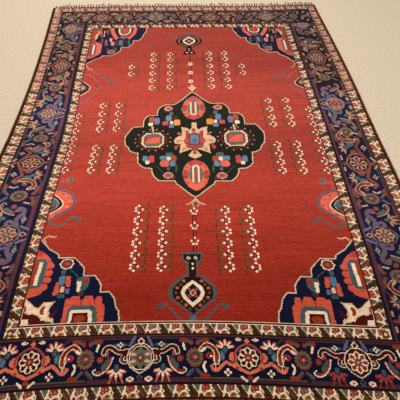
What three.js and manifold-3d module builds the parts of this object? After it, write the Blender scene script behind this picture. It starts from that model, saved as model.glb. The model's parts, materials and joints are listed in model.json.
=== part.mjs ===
// A hand-knotted village carpet with a red field, lying flat on the floor.
//
// It is built as its maker finishes it: one knotted pile slab, a wool cord overcast along each long
// side, and at each short end a narrow plain-woven web from which the warp ends stand out as a short,
// worn and uneven fringe. Millimetres, +Z up, +Y towards the far end, the floor at Z = 0.

import * as THREE from "three";
import { mergeVertices } from "three/addons/utils/BufferGeometryUtils.js";
import Module from "manifold-3d";

const wasm = await Module();
wasm.setup();

// Driving dimensions
const NEAR_END = -1335; // where the charted pile ends, counted from the middle of the design
const FAR_END = 1377;
const THICKNESS = 8; // foundation and worn pile together
const GAP = 0.3; // between two pieces that are sewn or woven together
const CORD_WIDTH = 9; // the overcast side cord
const CORD_HEIGHT = 8.4;
const CORD_SIDES = 8;
const WEB_WIDTH = 12; // the plain-woven strip at each end
const WEB_THICKNESS = 3;
const LOCKS_PER_END = 96;
const LOCK_WIDTH = 7.5;
const LOCK_SHORTEST = 14;
const LOCK_LONGEST = 46;
const LOCK_TIP_SHARE = 0.35; // how wide and high a lock still is at its tip
const LOCK_ROOT = 6; // how far a lock reaches back into its web
const LOCK_HEIGHT = 2.6;
const LOCK_LENGTH_BIAS = 1.6; // above 1, so that short, worn locks are the commoner ones
const LOCK_SPACING_PLAY = 0.25; // how far off its even place a lock may grow, as a share of the spacing
const LEAN_SWAY = 0.16; // sideways run for each millimetre outwards, which neighbours share
const LEAN_RHYTHM = 0.37; // how fast that shared lean changes from lock to lock
const LEAN_PLAY = 0.08; // the part of the lean that is a lock's own
const LOCK_BEND = 3; // the widest sideways bow of a lock
const STEPS_ACROSS = 20; // faces over the pile slab, and steps of what is joined to its edges
const STEPS_ALONG = 40;
const MERGE_DISTANCE = 1e-4;
const WOOL_ROUGHNESS = 0.95;

// How the two long edges really run, at even steps from the near end to the far end.
const SIDES = [
  { left: -955, right: 965 },
  { left: -975, right: 990 },
  { left: -985, right: 1005 },
  { left: -960, right: 995 },
  { left: -953, right: 990 },
  { left: -965, right: 972 },
  { left: -985, right: 948 },
];

// How the two ends really run, at even steps from the left side to the right side.
const ENDS = [
  { near: -1365, far: 1342 },
  { near: -1333, far: 1367 },
  { near: -1320, far: 1377 },
  { near: -1342, far: 1385 },
  { near: -1368, far: 1416 },
];

// Soft creases left across the carpet by years of folding: place along it, height and width.
const CREASES = [
  { along: -850, height: 0.9, width: 60 },
  { along: -470, height: 1.2, width: 55 },
  { along: -30, height: -1.6, width: 45 },
  { along: 25, height: 1.0, width: 50 },
  { along: 330, height: 0.8, width: 80 },
];

// The carpet's uneven outline

// One column of a table as a smooth curve over 0 to 1.
function smoothColumn(table, column) {
  const points = table.map((row, k) => new THREE.Vector2(k, row[column]));
  const curve = new THREE.SplineCurve(points);
  return (share) => curve.getPoint(THREE.MathUtils.clamp(share, 0, 1)).y;
}

const leftEdge = smoothColumn(SIDES, "left");
const rightEdge = smoothColumn(SIDES, "right");
const nearEdge = smoothColumn(ENDS, "near");
const farEdge = smoothColumn(ENDS, "far");

// A place on the straight chart, given as shares across and along, as it lies on the real carpet.
function onCarpet(across, along) {
  const x = THREE.MathUtils.lerp(leftEdge(along), rightEdge(along), across);
  const y = THREE.MathUtils.lerp(nearEdge(across), farEdge(across), along);
  return new THREE.Vector2(x, y);
}

function creaseHeight(along) {
  return CREASES.reduce((sum, crease) => {
    const offset = (along - crease.along) / crease.width;
    return sum + crease.height * Math.exp(-offset * offset);
  }, 0);
}

// Helpers

// Moves every vertex of a geometry by a rule, and merges those that meet.
function reshaped(geometry, rule) {
  const position = geometry.getAttribute("position");
  const point = new THREE.Vector3();
  for (let i = 0; i < position.count; i++) {
    point.fromBufferAttribute(position, i);
    const moved = rule(point);
    position.setXYZ(i, moved.x, moved.y, moved.z);
  }
  geometry.deleteAttribute("normal");
  geometry.deleteAttribute("uv");
  return mergeVertices(geometry, MERGE_DISTANCE);
}

function solidOf(geometry) {
  return new wasm.Manifold(
    new wasm.Mesh({
      numProp: 3,
      vertProperties: new Float32Array(geometry.getAttribute("position").array),
      triVerts: new Uint32Array(geometry.index.array),
    }),
  );
}

function geometryOf(solid) {
  const mesh = solid.getMesh();
  const points = new Float32Array(mesh.numVert * 3);
  for (let i = 0; i < mesh.numVert; i++) {
    const start = i * mesh.numProp;
    points.set(mesh.vertProperties.subarray(start, start + 3), i * 3);
  }
  const geometry = new THREE.BufferGeometry();
  geometry.setAttribute("position", new THREE.BufferAttribute(points, 3));
  geometry.setIndex(new THREE.BufferAttribute(mesh.triVerts, 1));
  geometry.computeVertexNormals();
  return geometry;
}

// A repeatable number from 0 to 1 for the k-th lock, different for each use, by the common sine hash.
function scatter(k, use) {
  const value = Math.sin(k * 12.9898 + use * 78.233) * 43758.5453;
  return value - Math.floor(value);
}

function namedMesh(name, geometry, material) {
  const mesh = new THREE.Mesh(geometry, material);
  mesh.name = name;
  return mesh;
}

// Materials
function wool(color) {
  return new THREE.MeshStandardMaterial({ color, roughness: WOOL_ROUGHNESS, metalness: 0 });
}

const pileWool = wool(0x9c2f22);
const cordWool = wool(0x5a2a1e);
const warpWool = wool(0x9a7c55);

// The knotted pile
function pileSlab() {
  const length = FAR_END - NEAR_END;
  const block = new THREE.BoxGeometry(1, 1, 1, STEPS_ACROSS, STEPS_ALONG, 1);
  return reshaped(block, (point) => {
    const across = point.x + 0.5;
    const along = point.y + 0.5;
    const place = onCarpet(across, along);
    const charted = NEAR_END + along * length;
    const z = point.z > 0 ? THICKNESS + creaseHeight(charted) : 0;
    return new THREE.Vector3(place.x, place.y, z);
  });
}

// The overcast side cords
// side is -1 for the left cord and 1 for the right one. The cord's underside is pressed flat.
function sideCord(side) {
  const rod = new THREE.CylinderGeometry(0.5, 0.5, 1, CORD_SIDES, STEPS_ALONG);
  rod.rotateY(Math.PI / CORD_SIDES);
  const flatHalf = 0.5 * Math.cos(Math.PI / CORD_SIDES); // from the axis to the middle of a side
  return reshaped(rod, (point) => {
    const along = point.y + 0.5;
    const edge = onCarpet(side < 0 ? 0 : 1, along);
    const middle = edge.x + side * (GAP + CORD_WIDTH / 2);
    const x = middle + (point.x / flatHalf) * (CORD_WIDTH / 2);
    const z = (point.z / flatHalf + 1) * (CORD_HEIGHT / 2);
    return new THREE.Vector3(x, edge.y, z);
  });
}

// The end webs with their fringe
// end is -1 for the near end and 1 for the far one.
function endWeb(end) {
  const strip = new THREE.BoxGeometry(1, 1, 1, STEPS_ACROSS, 1, 1);
  return reshaped(strip, (point) => {
    const edge = onCarpet(point.x + 0.5, end < 0 ? 0 : 1);
    const out = GAP + (point.y * end + 0.5) * WEB_WIDTH;
    return new THREE.Vector3(edge.x, edge.y + end * out, (point.z + 0.5) * WEB_THICKNESS);
  });
}

// A lock lies level on the floor and narrows towards its tip. Its lean follows its neighbours', so
// that locks stand apart.
function warpLock(end, k) {
  const share = (k + 0.5 + LOCK_SPACING_PLAY * (scatter(k, 1) - 0.5)) / LOCKS_PER_END;
  const root = onCarpet(share, end < 0 ? 0 : 1);
  const length = THREE.MathUtils.lerp(LOCK_SHORTEST, LOCK_LONGEST, scatter(k, 2) ** LOCK_LENGTH_BIAS);
  const lean = LEAN_SWAY * Math.sin(k * LEAN_RHYTHM + end) + LEAN_PLAY * (scatter(k, 3) - 0.5);
  const bend = LOCK_BEND * (scatter(k, 4) - 0.5);
  const whole = LOCK_ROOT + length;
  const bar = new THREE.BoxGeometry(1, 1, 1, 1, 2, 1);
  return reshaped(bar, (point) => {
    const out = (point.y * end + 0.5) * whole;
    const taper = 1 - (1 - LOCK_TIP_SHARE) * Math.max(0, out - LOCK_ROOT) / length;
    const aside = out * lean + bend * Math.sin((Math.PI * out) / whole);
    const x = root.x + aside + point.x * LOCK_WIDTH * taper;
    const y = root.y + end * (GAP + WEB_WIDTH - LOCK_ROOT + out);
    const z = (point.z + 0.5) * LOCK_HEIGHT * taper;
    return new THREE.Vector3(x, y, z);
  });
}

function fringe(end) {
  let solid = solidOf(endWeb(end));
  for (let k = 0; k < LOCKS_PER_END; k++) solid = solid.add(solidOf(warpLock(end, k)));
  return geometryOf(solid);
}

// The carpet
const carpet = new THREE.Group();
carpet.add(namedMesh("pile", pileSlab(), pileWool));
carpet.add(namedMesh("side_cord_left", sideCord(-1), cordWool));
carpet.add(namedMesh("side_cord_right", sideCord(1), cordWool));
carpet.add(namedMesh("fringe_near", fringe(-1), warpWool));
carpet.add(namedMesh("fringe_far", fringe(1), warpWool));

// The origin is on the floor, under the middle of the whole carpet.
const reach = new THREE.Box3().setFromObject(carpet);
const middle = reach.getCenter(new THREE.Vector3());
carpet.position.set(-middle.x, -middle.y, 0);

const part = new THREE.Group();
part.add(carpet);

export default part;
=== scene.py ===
# %% [markdown]
# # A hand-knotted carpet, laid on the floor
# The object is a worn village carpet, about 2.0 m by 2.9 m: a red field with a dark medallion,
# corner pieces, three borders, overcast sides and a short uneven fringe.
#
# It is made the way the real one is. First comes a chart of knots, then the woven cloth with its
# uneven edges, then the overcast sides and the fringe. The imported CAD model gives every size.

# %% Load the frame
import json
import math
import random
from collections import namedtuple

import bmesh
import bpy
import numpy as np
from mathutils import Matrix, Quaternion, Vector

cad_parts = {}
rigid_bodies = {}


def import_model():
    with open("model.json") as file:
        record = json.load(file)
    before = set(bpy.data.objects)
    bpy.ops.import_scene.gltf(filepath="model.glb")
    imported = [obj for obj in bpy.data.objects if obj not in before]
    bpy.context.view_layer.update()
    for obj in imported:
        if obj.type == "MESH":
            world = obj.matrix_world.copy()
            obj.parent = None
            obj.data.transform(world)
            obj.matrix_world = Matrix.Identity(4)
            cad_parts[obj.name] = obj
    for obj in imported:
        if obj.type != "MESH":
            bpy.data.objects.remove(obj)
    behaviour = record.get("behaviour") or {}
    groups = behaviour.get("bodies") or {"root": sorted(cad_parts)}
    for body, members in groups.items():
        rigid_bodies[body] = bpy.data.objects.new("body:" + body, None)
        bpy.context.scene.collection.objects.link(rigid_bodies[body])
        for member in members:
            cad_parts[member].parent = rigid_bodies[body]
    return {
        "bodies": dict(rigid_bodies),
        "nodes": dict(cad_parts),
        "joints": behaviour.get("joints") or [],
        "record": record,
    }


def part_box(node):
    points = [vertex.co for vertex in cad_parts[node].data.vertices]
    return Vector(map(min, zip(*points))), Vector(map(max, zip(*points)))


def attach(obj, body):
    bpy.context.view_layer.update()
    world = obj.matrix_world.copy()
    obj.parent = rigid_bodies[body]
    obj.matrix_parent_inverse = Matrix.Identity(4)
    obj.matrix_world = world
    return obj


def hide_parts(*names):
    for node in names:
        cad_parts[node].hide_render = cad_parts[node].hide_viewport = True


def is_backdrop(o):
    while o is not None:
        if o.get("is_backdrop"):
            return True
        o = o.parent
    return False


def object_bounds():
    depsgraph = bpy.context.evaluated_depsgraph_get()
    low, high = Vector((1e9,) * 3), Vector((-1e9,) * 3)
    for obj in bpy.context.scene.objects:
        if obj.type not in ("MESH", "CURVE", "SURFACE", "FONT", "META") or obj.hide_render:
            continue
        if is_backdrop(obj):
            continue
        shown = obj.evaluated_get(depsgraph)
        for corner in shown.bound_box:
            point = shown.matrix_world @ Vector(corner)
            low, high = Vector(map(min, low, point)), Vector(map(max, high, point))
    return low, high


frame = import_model()
cad_box = [list(corner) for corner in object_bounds()]
scene = bpy.context.scene
random.seed(7)
MM = 0.001
print("CAD box:", [[round(v, 3) for v in corner] for corner in cad_box])

# %% [markdown]
# ## How the carpet really lies
# No village carpet is square. Its sides swell and its ends bow, and the guard lines wander apart
# from the edges. Each column below is one such line, at even steps from one end to the other. The
# chart is straight, and is laid over these lines as over a grid, so a motif bends with its border.

# %% The wandering lines, in millimetres
SIDE_LINES = {  # lines up the chart, by their place across it: where they run, near end to far end
    -970: (-955, -975, -985, -960, -953, -965, -985),
    -712: (-712, -714, -699, -683, -697, -707, -717),
    0: (8, 8, 8, 8, 8, 8, 8),
    712: (712, 731, 733, 734, 726, 714, 711),
    970: (965, 990, 1005, 995, 990, 972, 948),
}
END_LINES = {  # lines across the chart, by their place along it: where they run, left to right
    -1335: (-1365, -1333, -1320, -1342, -1368),
    -1112: (-1128, -1106, -1100, -1120, -1140),
    0: (0, 0, 0, 0, 0),
    1122: (1099, 1106, 1119, 1130, 1143),
    1377: (1342, 1367, 1377, 1385, 1416),
}
LEFT, RIGHT = min(SIDE_LINES), max(SIDE_LINES)
NEAR, FAR = min(END_LINES), max(END_LINES)
CAD_STEPS_ACROSS = 20
CAD_STEPS_ALONG = 40


def smooth_column(column, share):
    """A Catmull-Rom curve through evenly spaced numbers, read at shares from 0 to 1."""
    p = np.array([column[0], *column, column[-1]], float)
    place = np.clip(np.asarray(share, float), 0, 1) * (len(column) - 1)
    k = np.minimum(place.astype(int), len(column) - 2)
    u = place - k
    a, b, c, d = p[k], p[k + 1], p[k + 2], p[k + 3]
    bend = (2 * a - 5 * b + 4 * c - d) * u**2 + (3 * b - a - 3 * c + d) * u**3
    return 0.5 * (2 * b + (c - a) * u + bend)


edge_x = smooth_column(SIDE_LINES[LEFT], np.linspace(0, 1, CAD_STEPS_ALONG + 1))
edge_y = smooth_column(END_LINES[NEAR], np.linspace(0, 1, CAD_STEPS_ACROSS + 1))
pile_low, pile_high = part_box("pile")
SHIFT_X = pile_low.x / MM - edge_x.min()
SHIFT_Y = pile_low.y / MM - edge_y.min()
print("the CAD's own middle moves the lines by", round(SHIFT_X, 1), round(SHIFT_Y, 1), "mm")


def lay(s, t):
    """Where places on the chart lie on the floor, x and y in millimetres."""
    s, t = np.broadcast_arrays(np.asarray(s, float), np.asarray(t, float))
    xs = [smooth_column(column, (t - NEAR) / (FAR - NEAR)) for column in SIDE_LINES.values()]
    ys = [smooth_column(column, (s - LEFT) / (RIGHT - LEFT)) for column in END_LINES.values()]
    x = between(s, list(SIDE_LINES), xs) + SHIFT_X
    y = between(t, list(END_LINES), ys) + SHIFT_Y
    return x, y


def between(value, stops, lines):
    """Straight from line to line, and straight on past the outer two."""
    k = np.clip(np.searchsorted(stops, value) - 1, 0, len(stops) - 2)
    low, high = np.array(stops)[k], np.array(stops)[k + 1]
    share = (value - low) / (high - low)
    lines = np.array(lines)
    before = np.take_along_axis(lines, k[None], 0)[0]
    after = np.take_along_axis(lines, k[None] + 1, 0)[0]
    return before + (after - before) * share


# %% [markdown]
# ## The camera
# The photograph was taken by someone standing at the near end and holding the camera out, looking
# down along the carpet. Its height and tilt come from how the straight guard lines run together.

# %% The camera
CAMERA_PLACE = Vector((-62.9, -1652.8, 1498.5))
CAMERA_TURNS = Vector((38.373, -0.986, -0.484))  # degrees about x, y and z, as one turn
TOP = 8.0  # the pile's top above the floor
camera = bpy.data.objects.new("camera", bpy.data.cameras.new("camera"))
scene.collection.objects.link(camera)
scene.camera = camera
camera.rotation_mode = "QUATERNION"
camera.rotation_quaternion = Quaternion(CAMERA_TURNS.normalized(), math.radians(CAMERA_TURNS.length))
camera.location = (CAMERA_PLACE + Vector((SHIFT_X, SHIFT_Y, TOP))) * MM
camera.data.lens = 36.9
camera.data.sensor_width = 36
camera.data.shift_x = 0.03
print("camera height:", round(camera.location.z, 2), "m")

# %% [markdown]
# ## The knot chart
# A carpet pattern is worked from a cartoon: squared paper, one square a knot, one colour a wool.
# It could be painted as an image, but a drawing by rules keeps its edges crisp, and each motif has
# a name and a size that can be changed. So the chart here is an array of wool numbers, and every
# motif is a short list of coloured shapes in millimetres, tied onto it wherever it is repeated.

# %% The wools
WOOLS = {
    "madder": "A82E1E",
    "navy": "11183A",
    "black green": "1C221C",
    "ivory": "E6CDB2",
    "tan": "D8AC88",
    "salmon": "DA5840",
    "slate": "4E6468",
    "periwinkle": "6E6C92",
    "sky": "5E7F9E",
    "rust": "A63E24",
    "maroon": "5A140E",
    "dark brown": "2C150D",
    "gold": "E08A28",
    "rose": "B04A4C",
    "leaf green": "3F5238",
    "purple brown": "5E3440",
    "olive": "6B5434",
    "moss grey": "6C6E5C",
    "pink": "DE9C8A",
    "crimson": "C03A40",
    "teal": "3C6468",
    "deep madder": "7A1E14",
    "coral": "DC7458",
    "brick": "86402F",
    "beige": "B49A82",
    "mauve rose": "8E5252",
    "slate violet": "5C5A7A",
    "dusty pink": "B2847A",
    "umber": "5C3E26",
    "ochre": "A87A44",
    "dusk": "1A1428",
    "worn ivory": "D2AE94",
}
WOOL_NAMES = list(WOOLS)
print("wools:", len(WOOLS))

# %% The squares of the chart
CHART_COLUMNS = 640
CHART_ROWS = 896
KNOT_WIDE = (RIGHT - LEFT) / CHART_COLUMNS
KNOT_LONG = (FAR - NEAR) / CHART_ROWS
knot_s = LEFT + (np.arange(CHART_COLUMNS) + 0.5) * KNOT_WIDE
knot_t = NEAR + (np.arange(CHART_ROWS) + 0.5) * KNOT_LONG
chart = np.zeros((CHART_ROWS, CHART_COLUMNS), int)
zones = np.zeros((CHART_ROWS, CHART_COLUMNS), int)  # 0 in the field, else a band's number, minus at the ends
FIELD_SIDE = 664  # from the middle to the field's edge, and where its two ends are
FIELD_NEAR = -1064
FIELD_FAR = 1072
print("knots:", chart.size, "of", round(KNOT_WIDE, 2), "by", round(KNOT_LONG, 2), "mm")

# %% [markdown]
# The weaver's rows don't run quite square: beside the medallion and in the far corners they climb
# to the right. A slope table along the rug gives this, so that motifs drawn evenly land unevenly.

# %% How the rows climb
ROW_SLOPES = {-220: 0.0, -60: 0.04, 240: 0.05, 400: 0.02, 650: 0.008, 760: 0.035, 950: 0.04, 1080: 0.0}


def climb(s, t):
    """How far a row has climbed at a place."""
    return s * np.interp(t, list(ROW_SLOPES), list(ROW_SLOPES.values()))


# %% [markdown]
# A shape is a rule that says which places it covers, with how far it reaches from its own middle.
# Straight-sided patches, ovals, petalled blooms and strands of a given width are all that the
# motifs need.

# %% Shapes
Shape = namedtuple("Shape", "covers reach")
REACH_ROOM = 1.5  # times the largest coordinate, which takes in a corner at any turn


def patch(*corners):
    """Everything inside a straight-sided outline."""
    points = np.array(corners, float)

    def covers(x, y):
        inside = np.zeros(x.shape, bool)
        for (xa, ya), (xb, yb) in zip(points, np.roll(points, -1, axis=0)):
            if ya != yb:
                crossed = (ya > y) != (yb > y)
                inside ^= crossed & (x < (xb - xa) * (y - ya) / (yb - ya) + xa)
        return inside

    return Shape(covers, np.abs(points).max() * REACH_ROOM)


def oval(x0, y0, wide, high):
    """An oval round its own middle."""

    def covers(x, y):
        return ((x - x0) * 2 / wide) ** 2 + ((y - y0) * 2 / high) ** 2 <= 1

    return Shape(covers, math.hypot(x0, y0) + max(wide, high))


def bloom(x0, y0, wide, high, petals, depth=0.15, turn=90):
    """An oval with a petalled rim: how many petals, how deep the dips are, where one points."""

    def covers(x, y):
        u = (x - x0) * 2 / wide
        v = (y - y0) * 2 / high
        angle = np.arctan2(v, u) - math.radians(turn)
        return np.hypot(u, v) <= 1 - depth * (1 - np.cos(petals * angle))

    return Shape(covers, math.hypot(x0, y0) + max(wide, high))


def flowing(points, steps=6):
    """More points along the smooth curve through a few, each span bent by its neighbours."""
    p = np.array([points[0], *points, points[-1]], float)
    share = np.linspace(0, 1, steps, endpoint=False)[:, None]
    spans = []
    for a, b, c, d in zip(p, p[1:], p[2:], p[3:]):
        bend = (2 * a - 5 * b + 4 * c - d) * share**2 + (3 * b - a - 3 * c + d) * share**3
        spans.append(0.5 * (2 * b + (c - a) * share + bend))
    return np.vstack([*spans, p[-1:]])


def along_line(width, line):
    """Everything within half a width of a line."""

    def covers(x, y):
        near = np.zeros(x.shape, bool)
        for (xa, ya), (xb, yb) in zip(line, line[1:]):
            length = (xb - xa) ** 2 + (yb - ya) ** 2 + 1e-9
            share = np.clip(((x - xa) * (xb - xa) + (y - ya) * (yb - ya)) / length, 0, 1)
            near |= np.hypot(x - xa - share * (xb - xa), y - ya - share * (yb - ya)) <= width / 2
        return near

    return Shape(covers, np.abs(line).max() * REACH_ROOM + width)


def strand(width, *points):
    """A band of one width along the smooth curve through its points."""
    return along_line(width, flowing(points))


def bar(width, *points):
    """A band of one width that runs straight from point to point."""
    return along_line(width, np.array(points, float))


def both(shape):
    """A shape and its mirror image on the other side of the motif's middle line."""
    return Shape(lambda x, y: shape.covers(x, y) | shape.covers(-x, y), shape.reach)


def folded(*points):
    """A patch from the right half of its outline, listed from top to bottom."""
    return patch(*points, *[(-x, y) for x, y in reversed(points)])


def dots(wool, size, *places):
    """Small dots of one wool."""
    return [(wool, oval(x, y, size, size * 1.1)) for x, y in places]


# %% [markdown]
# Tying a motif: only the knots within its reach are looked at, in the motif's own millimetres,
# turned, flipped or stretched as it lies there.

# %% Tying a motif onto the chart
CLIMB_ROOM = 60  # how far a climbing row can carry a motif up or down


def tie(motif, s=0.0, t=0.0, turn=0, across=1.0, along=1.0, zone=None):
    reach = max(shape.reach for wool, shape in motif) * max(abs(across), abs(along))
    columns = slice(*np.searchsorted(knot_s, (s - reach, s + reach)))
    rows = slice(*np.searchsorted(knot_t, (t - reach - CLIMB_ROOM, t + reach + CLIMB_ROOM)))
    x, y = np.meshgrid(knot_s[columns], knot_t[rows])
    y = y - climb(x, y) - t
    x = x - s
    c = math.cos(math.radians(turn))
    d = math.sin(math.radians(turn))
    u = (x * c + y * d) / across
    v = (y * c - x * d) / along
    window = chart[rows, columns]
    open_here = True if zone is None else zones[rows, columns] == zone
    for wool, shape in motif:
        window[shape.covers(u, v) & open_here] = WOOL_NAMES.index(wool)


def twice(motif):
    """The same pieces on both sides of the motif's middle line."""
    return [(wool, both(shape)) for wool, shape in motif]


def crossed_dots(wool, heart, x, y, size, apart):
    """Four dots round a fifth."""
    around = ((x, y + apart), (x, y - apart), (x - apart, y), (x + apart, y))
    return [*dots(wool, size, *around), (heart, oval(x, y, size, size))]


def lined(line, wool, wide, edge="ivory", thin=3.2):
    """A strand with a thin line of another wool along both its sides."""
    return [(edge, strand(wide + 2 * thin, *line)), (wool, strand(wide, *line))]


# %% [markdown]
# ## The medallion
# Its outline is drawn once, as the right half from the top tip to the bottom one, and mirrored.
# On the dark ground stand a pointed petalled oval above and below, an eye at each side, a star
# in the middle and loose flowers of four blunt petals.

# %% The medallion
MEDALLION_EDGE = [
    (0, 345), (24, 322), (48, 293), (75, 263), (104, 236), (160, 236), (182, 222), (198, 198), (203, 178),
    (203, 147), (248, 147), (268, 130), (279, 104), (279, 52), (332, 50), (350, 28), (357, 10), (371, -12),
    (373, -52), (366, -92), (349, -112), (340, -138), (315, -154), (294, -157), (291, -230), (272, -252),
    (252, -266), (217, -269), (212, -303), (200, -326), (176, -350), (99, -352), (90, -372), (62, -398),
    (34, -426), (0, -458),
]
medallion_ground = [
    ("black green", folded(*MEDALLION_EDGE)),
    ("dark brown", both(bar(12, *MEDALLION_EDGE))),
    ("tan", both(bar(6.5, *MEDALLION_EDGE))),
    ("dark brown", both(oval(56, 62, 30, 34))),
    ("leaf green", both(oval(92, -268, 12, 60))),
    ("purple brown", both(oval(104, -330, 14, 22))),
    ("purple brown", both(oval(64, 186, 16, 22))),
    ("dark brown", both(oval(176, -160, 20, 60))),
    ("leaf green", both(bar(3, (196, -248), (160, -296)))),
]


def petalled_oval(tip_wool):
    """The pointed oval above the star, its blunt end down; the one below is this turned round."""
    outline = [
        (0, 112), (18, 100), (36, 84), (52, 58), (61, 30), (67, 0), (63, -30), (54, -54), (36, -80), (0, -98),
    ]
    return [
        ("salmon", folded(*outline)),
        ("rust", both(oval(50, 6, 30, 60))),
        (tip_wool, folded((0, 112), (18, 100), (36, 84), (40, 70), (22, 62), (0, 60))),
        ("crimson", folded((0, -50), (34, -56), (38, -76), (0, -98))),
        *[("black green", both(bar(3, (x, y), (x * 1.4, y * 1.25))))
          for x, y in ((40, 52), (48, 20), (49, -16), (42, -44), (22, -64))],
        ("slate", bloom(0, 2, 66, 128, 2, 0.0)),
        ("moss grey", oval(0, 2, 50, 112)),
        *[("slate violet", both(oval(x, y, 6, 7))) for x, y in
          ((22, 100), (40, 83), (53, 62), (62, 34), (67, 6), (63, -26), (54, -54), (36, -78))],
        ("ivory", folded((18, 56), (18, -48), (10, -58), (0, -60))),
        ("moss grey", folded((9, 60), (9, -38), (5, -48), (0, -50))),
        ("rust", folded((6, 48), (6, -36), (0, -42))),
    ]


EYE_TIPS = [(96 * math.cos(k * math.pi / 8 + 0.2), 84 * math.sin(k * math.pi / 8 + 0.2)) for k in range(16)]
side_eye = [
    ("maroon", bloom(0, 0, 176, 158, 16, 0.05)),
    *[("dark brown", bar(5, (0.8 * x, 0.8 * y), (0.95 * x, 0.95 * y))) for x, y in EYE_TIPS],
    *[("dusty pink", oval(x, y, 9, 10)) for x, y in EYE_TIPS],
    *[("brick", oval(0.84 * y, 0.78 * x, 7, 8)) for x, y in EYE_TIPS],
    ("dark brown", bloom(0, 0, 138, 128, 8, 0.03)),
    ("ivory", folded((38, 57), (61, 26), (61, -26), (38, -57))),
    ("slate", folded((32, 49), (50, 28), (50, -28), (32, -49))),
    ("moss grey", folded((38, 40), (46, 28), (46, -28), (38, -40))),
    ("maroon", folded((42, 30), (42, -30))),
    ("salmon", folded((39, 27), (39, -27))),
    ("crimson", patch((-39, 27), (6, 27), (-39, -8))),
    *[("olive", bar(3, (x, 47 * up), (x, 58 * up))) for x in (-24, -8, 8, 24) for up in (-1, 1)],
    *[("olive", bar(3, (50 * side, y), (62 * side, y))) for y in (-12, 12) for side in (-1, 1)],
    ("tan", strand(9, (0, 62), (-3, 84), (-4, 104))),
]
star = [
    ("crimson", both(bloom(99, -56, 20, 34, 4, 0.1, 0))),
    ("rust", both(bar(7, (78, -34), (92, -46)))),
    ("rust", both(bloom(76, 42, 24, 30, 4, 0.2, 45))),
    ("dusty pink", both(oval(86, 52, 12, 14))),
    ("tan", folded(
        (0, 136), (13, 134), (13, 92), (26, 76), (39, 92), (74, 101), (68, 84), (67, 34), (86, 30),
        (100, 20), (111, -2), (105, -26), (88, -30), (73, -30), (77, -52), (80, -104), (66, -94), (44, -84),
        (28, -74), (0, -70),
    )),
    ("tan", folded((0, -141), (23, -129), (36, -116), (24, -102), (14, -84), (0, -80))),
    ("dark brown", both(strand(6, (18, -86), (29, -92), (40, -110)))),
    ("rust", folded(
        (0, 58), (10, 56), (23, 46), (32, 62), (46, 76), (47, 18), (60, -6), (48, -32), (42, -60), (23, -64),
        (12, -70), (0, -86),
    )),
    ("brick", both(bar(4, (40, 62), (36, 26)))),
    ("rust", oval(-3, 76, 20, 28)),
    ("rust", bar(7, (-3, 66), (0, 52))),
    ("rust", oval(0, -97, 20, 26)),
    ("rust", both(bar(5, (60, -6), (82, -4), (98, -2)))),
    ("ochre", both(oval(90, -14, 16, 10))),
    ("rust", both(bar(6, (52, -64), (62, -78)))),
    ("crimson", both(oval(43, -6, 22, 34))),
    ("mauve rose", both(oval(34, -46, 14, 18))),
    ("purple brown", patch((-27, 46), (4, 46), (29, 32), (29, -38), (-27, -38))),
    ("sky", patch((-22, 40), (4, 40), (24, 27), (24, -32), (-22, -32))),
    ("slate violet", oval(2, -6, 22, 30)),
]


def blunt_flower(*petals):
    return [(wool, bloom(x, y, wide, high, 4, 0.06, 45)) for wool, x, y, wide, high in petals]


medallion_flowers = twice(
    blunt_flower(
        ("slate", -124, 156, 26, 36), ("sky", -138, 118, 36, 56), ("maroon", -100, 120, 26, 36),
        ("gold", -90, 80, 42, 56), ("crimson", -156, 75, 40, 38), ("sky", -122, 50, 34, 30),
        ("ivory", -122, 80, 20, 32), ("rust", -234, 110, 34, 58), ("periwinkle", -204, 95, 34, 66),
        ("ivory", -238, 70, 32, 32), ("slate", -130, -171, 44, 36), ("sky", -160, -195, 46, 34),
        ("rust", -106, -201, 32, 50), ("salmon", -152, -234, 52, 52), ("sky", -112, -236, 34, 42),
        ("ivory", -132, -200, 22, 32), ("slate", -132, -271, 20, 24), ("sky", -254, -200, 32, 46),
        ("crimson", -220, -203, 34, 62), ("ivory", -240, -227, 24, 28),
    )
) + twice([
    ("pink", bloom(140, 201, 54, 48, 8, 0.12)),
    ("rose", bloom(140, 201, 42, 36, 8, 0.2)),
    ("rust", oval(140, 200, 18, 16)),
    ("pink", bloom(132, -316, 54, 46, 8, 0.08)),
    ("rose", bloom(132, -316, 44, 36, 8, 0.12)),
    ("purple brown", oval(132, -315, 10, 10)),
    ("tan", bar(4, (233, 50), (228, 30))),
])

tie(medallion_ground)
tie(medallion_flowers)
tie(petalled_oval("rose"), 4, 197)
tie(petalled_oval("salmon"), 6, -305, 180)
for side in (-1, 1):
    tie(side_eye, side * 221, -56)
tie(star, 4, -60)

# %% [markdown]
# ## The poles and their vases
# A finial stands on each tip of the medallion, then a stem with small flowers, then a vase: a
# stepped head and neck over a lozenge with a ring of dots, and thin hooks round its foot. The far
# vase is the near one turned upside down and a little smaller, in darker wools, with a thin tan
# line in place of the dots.

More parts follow.
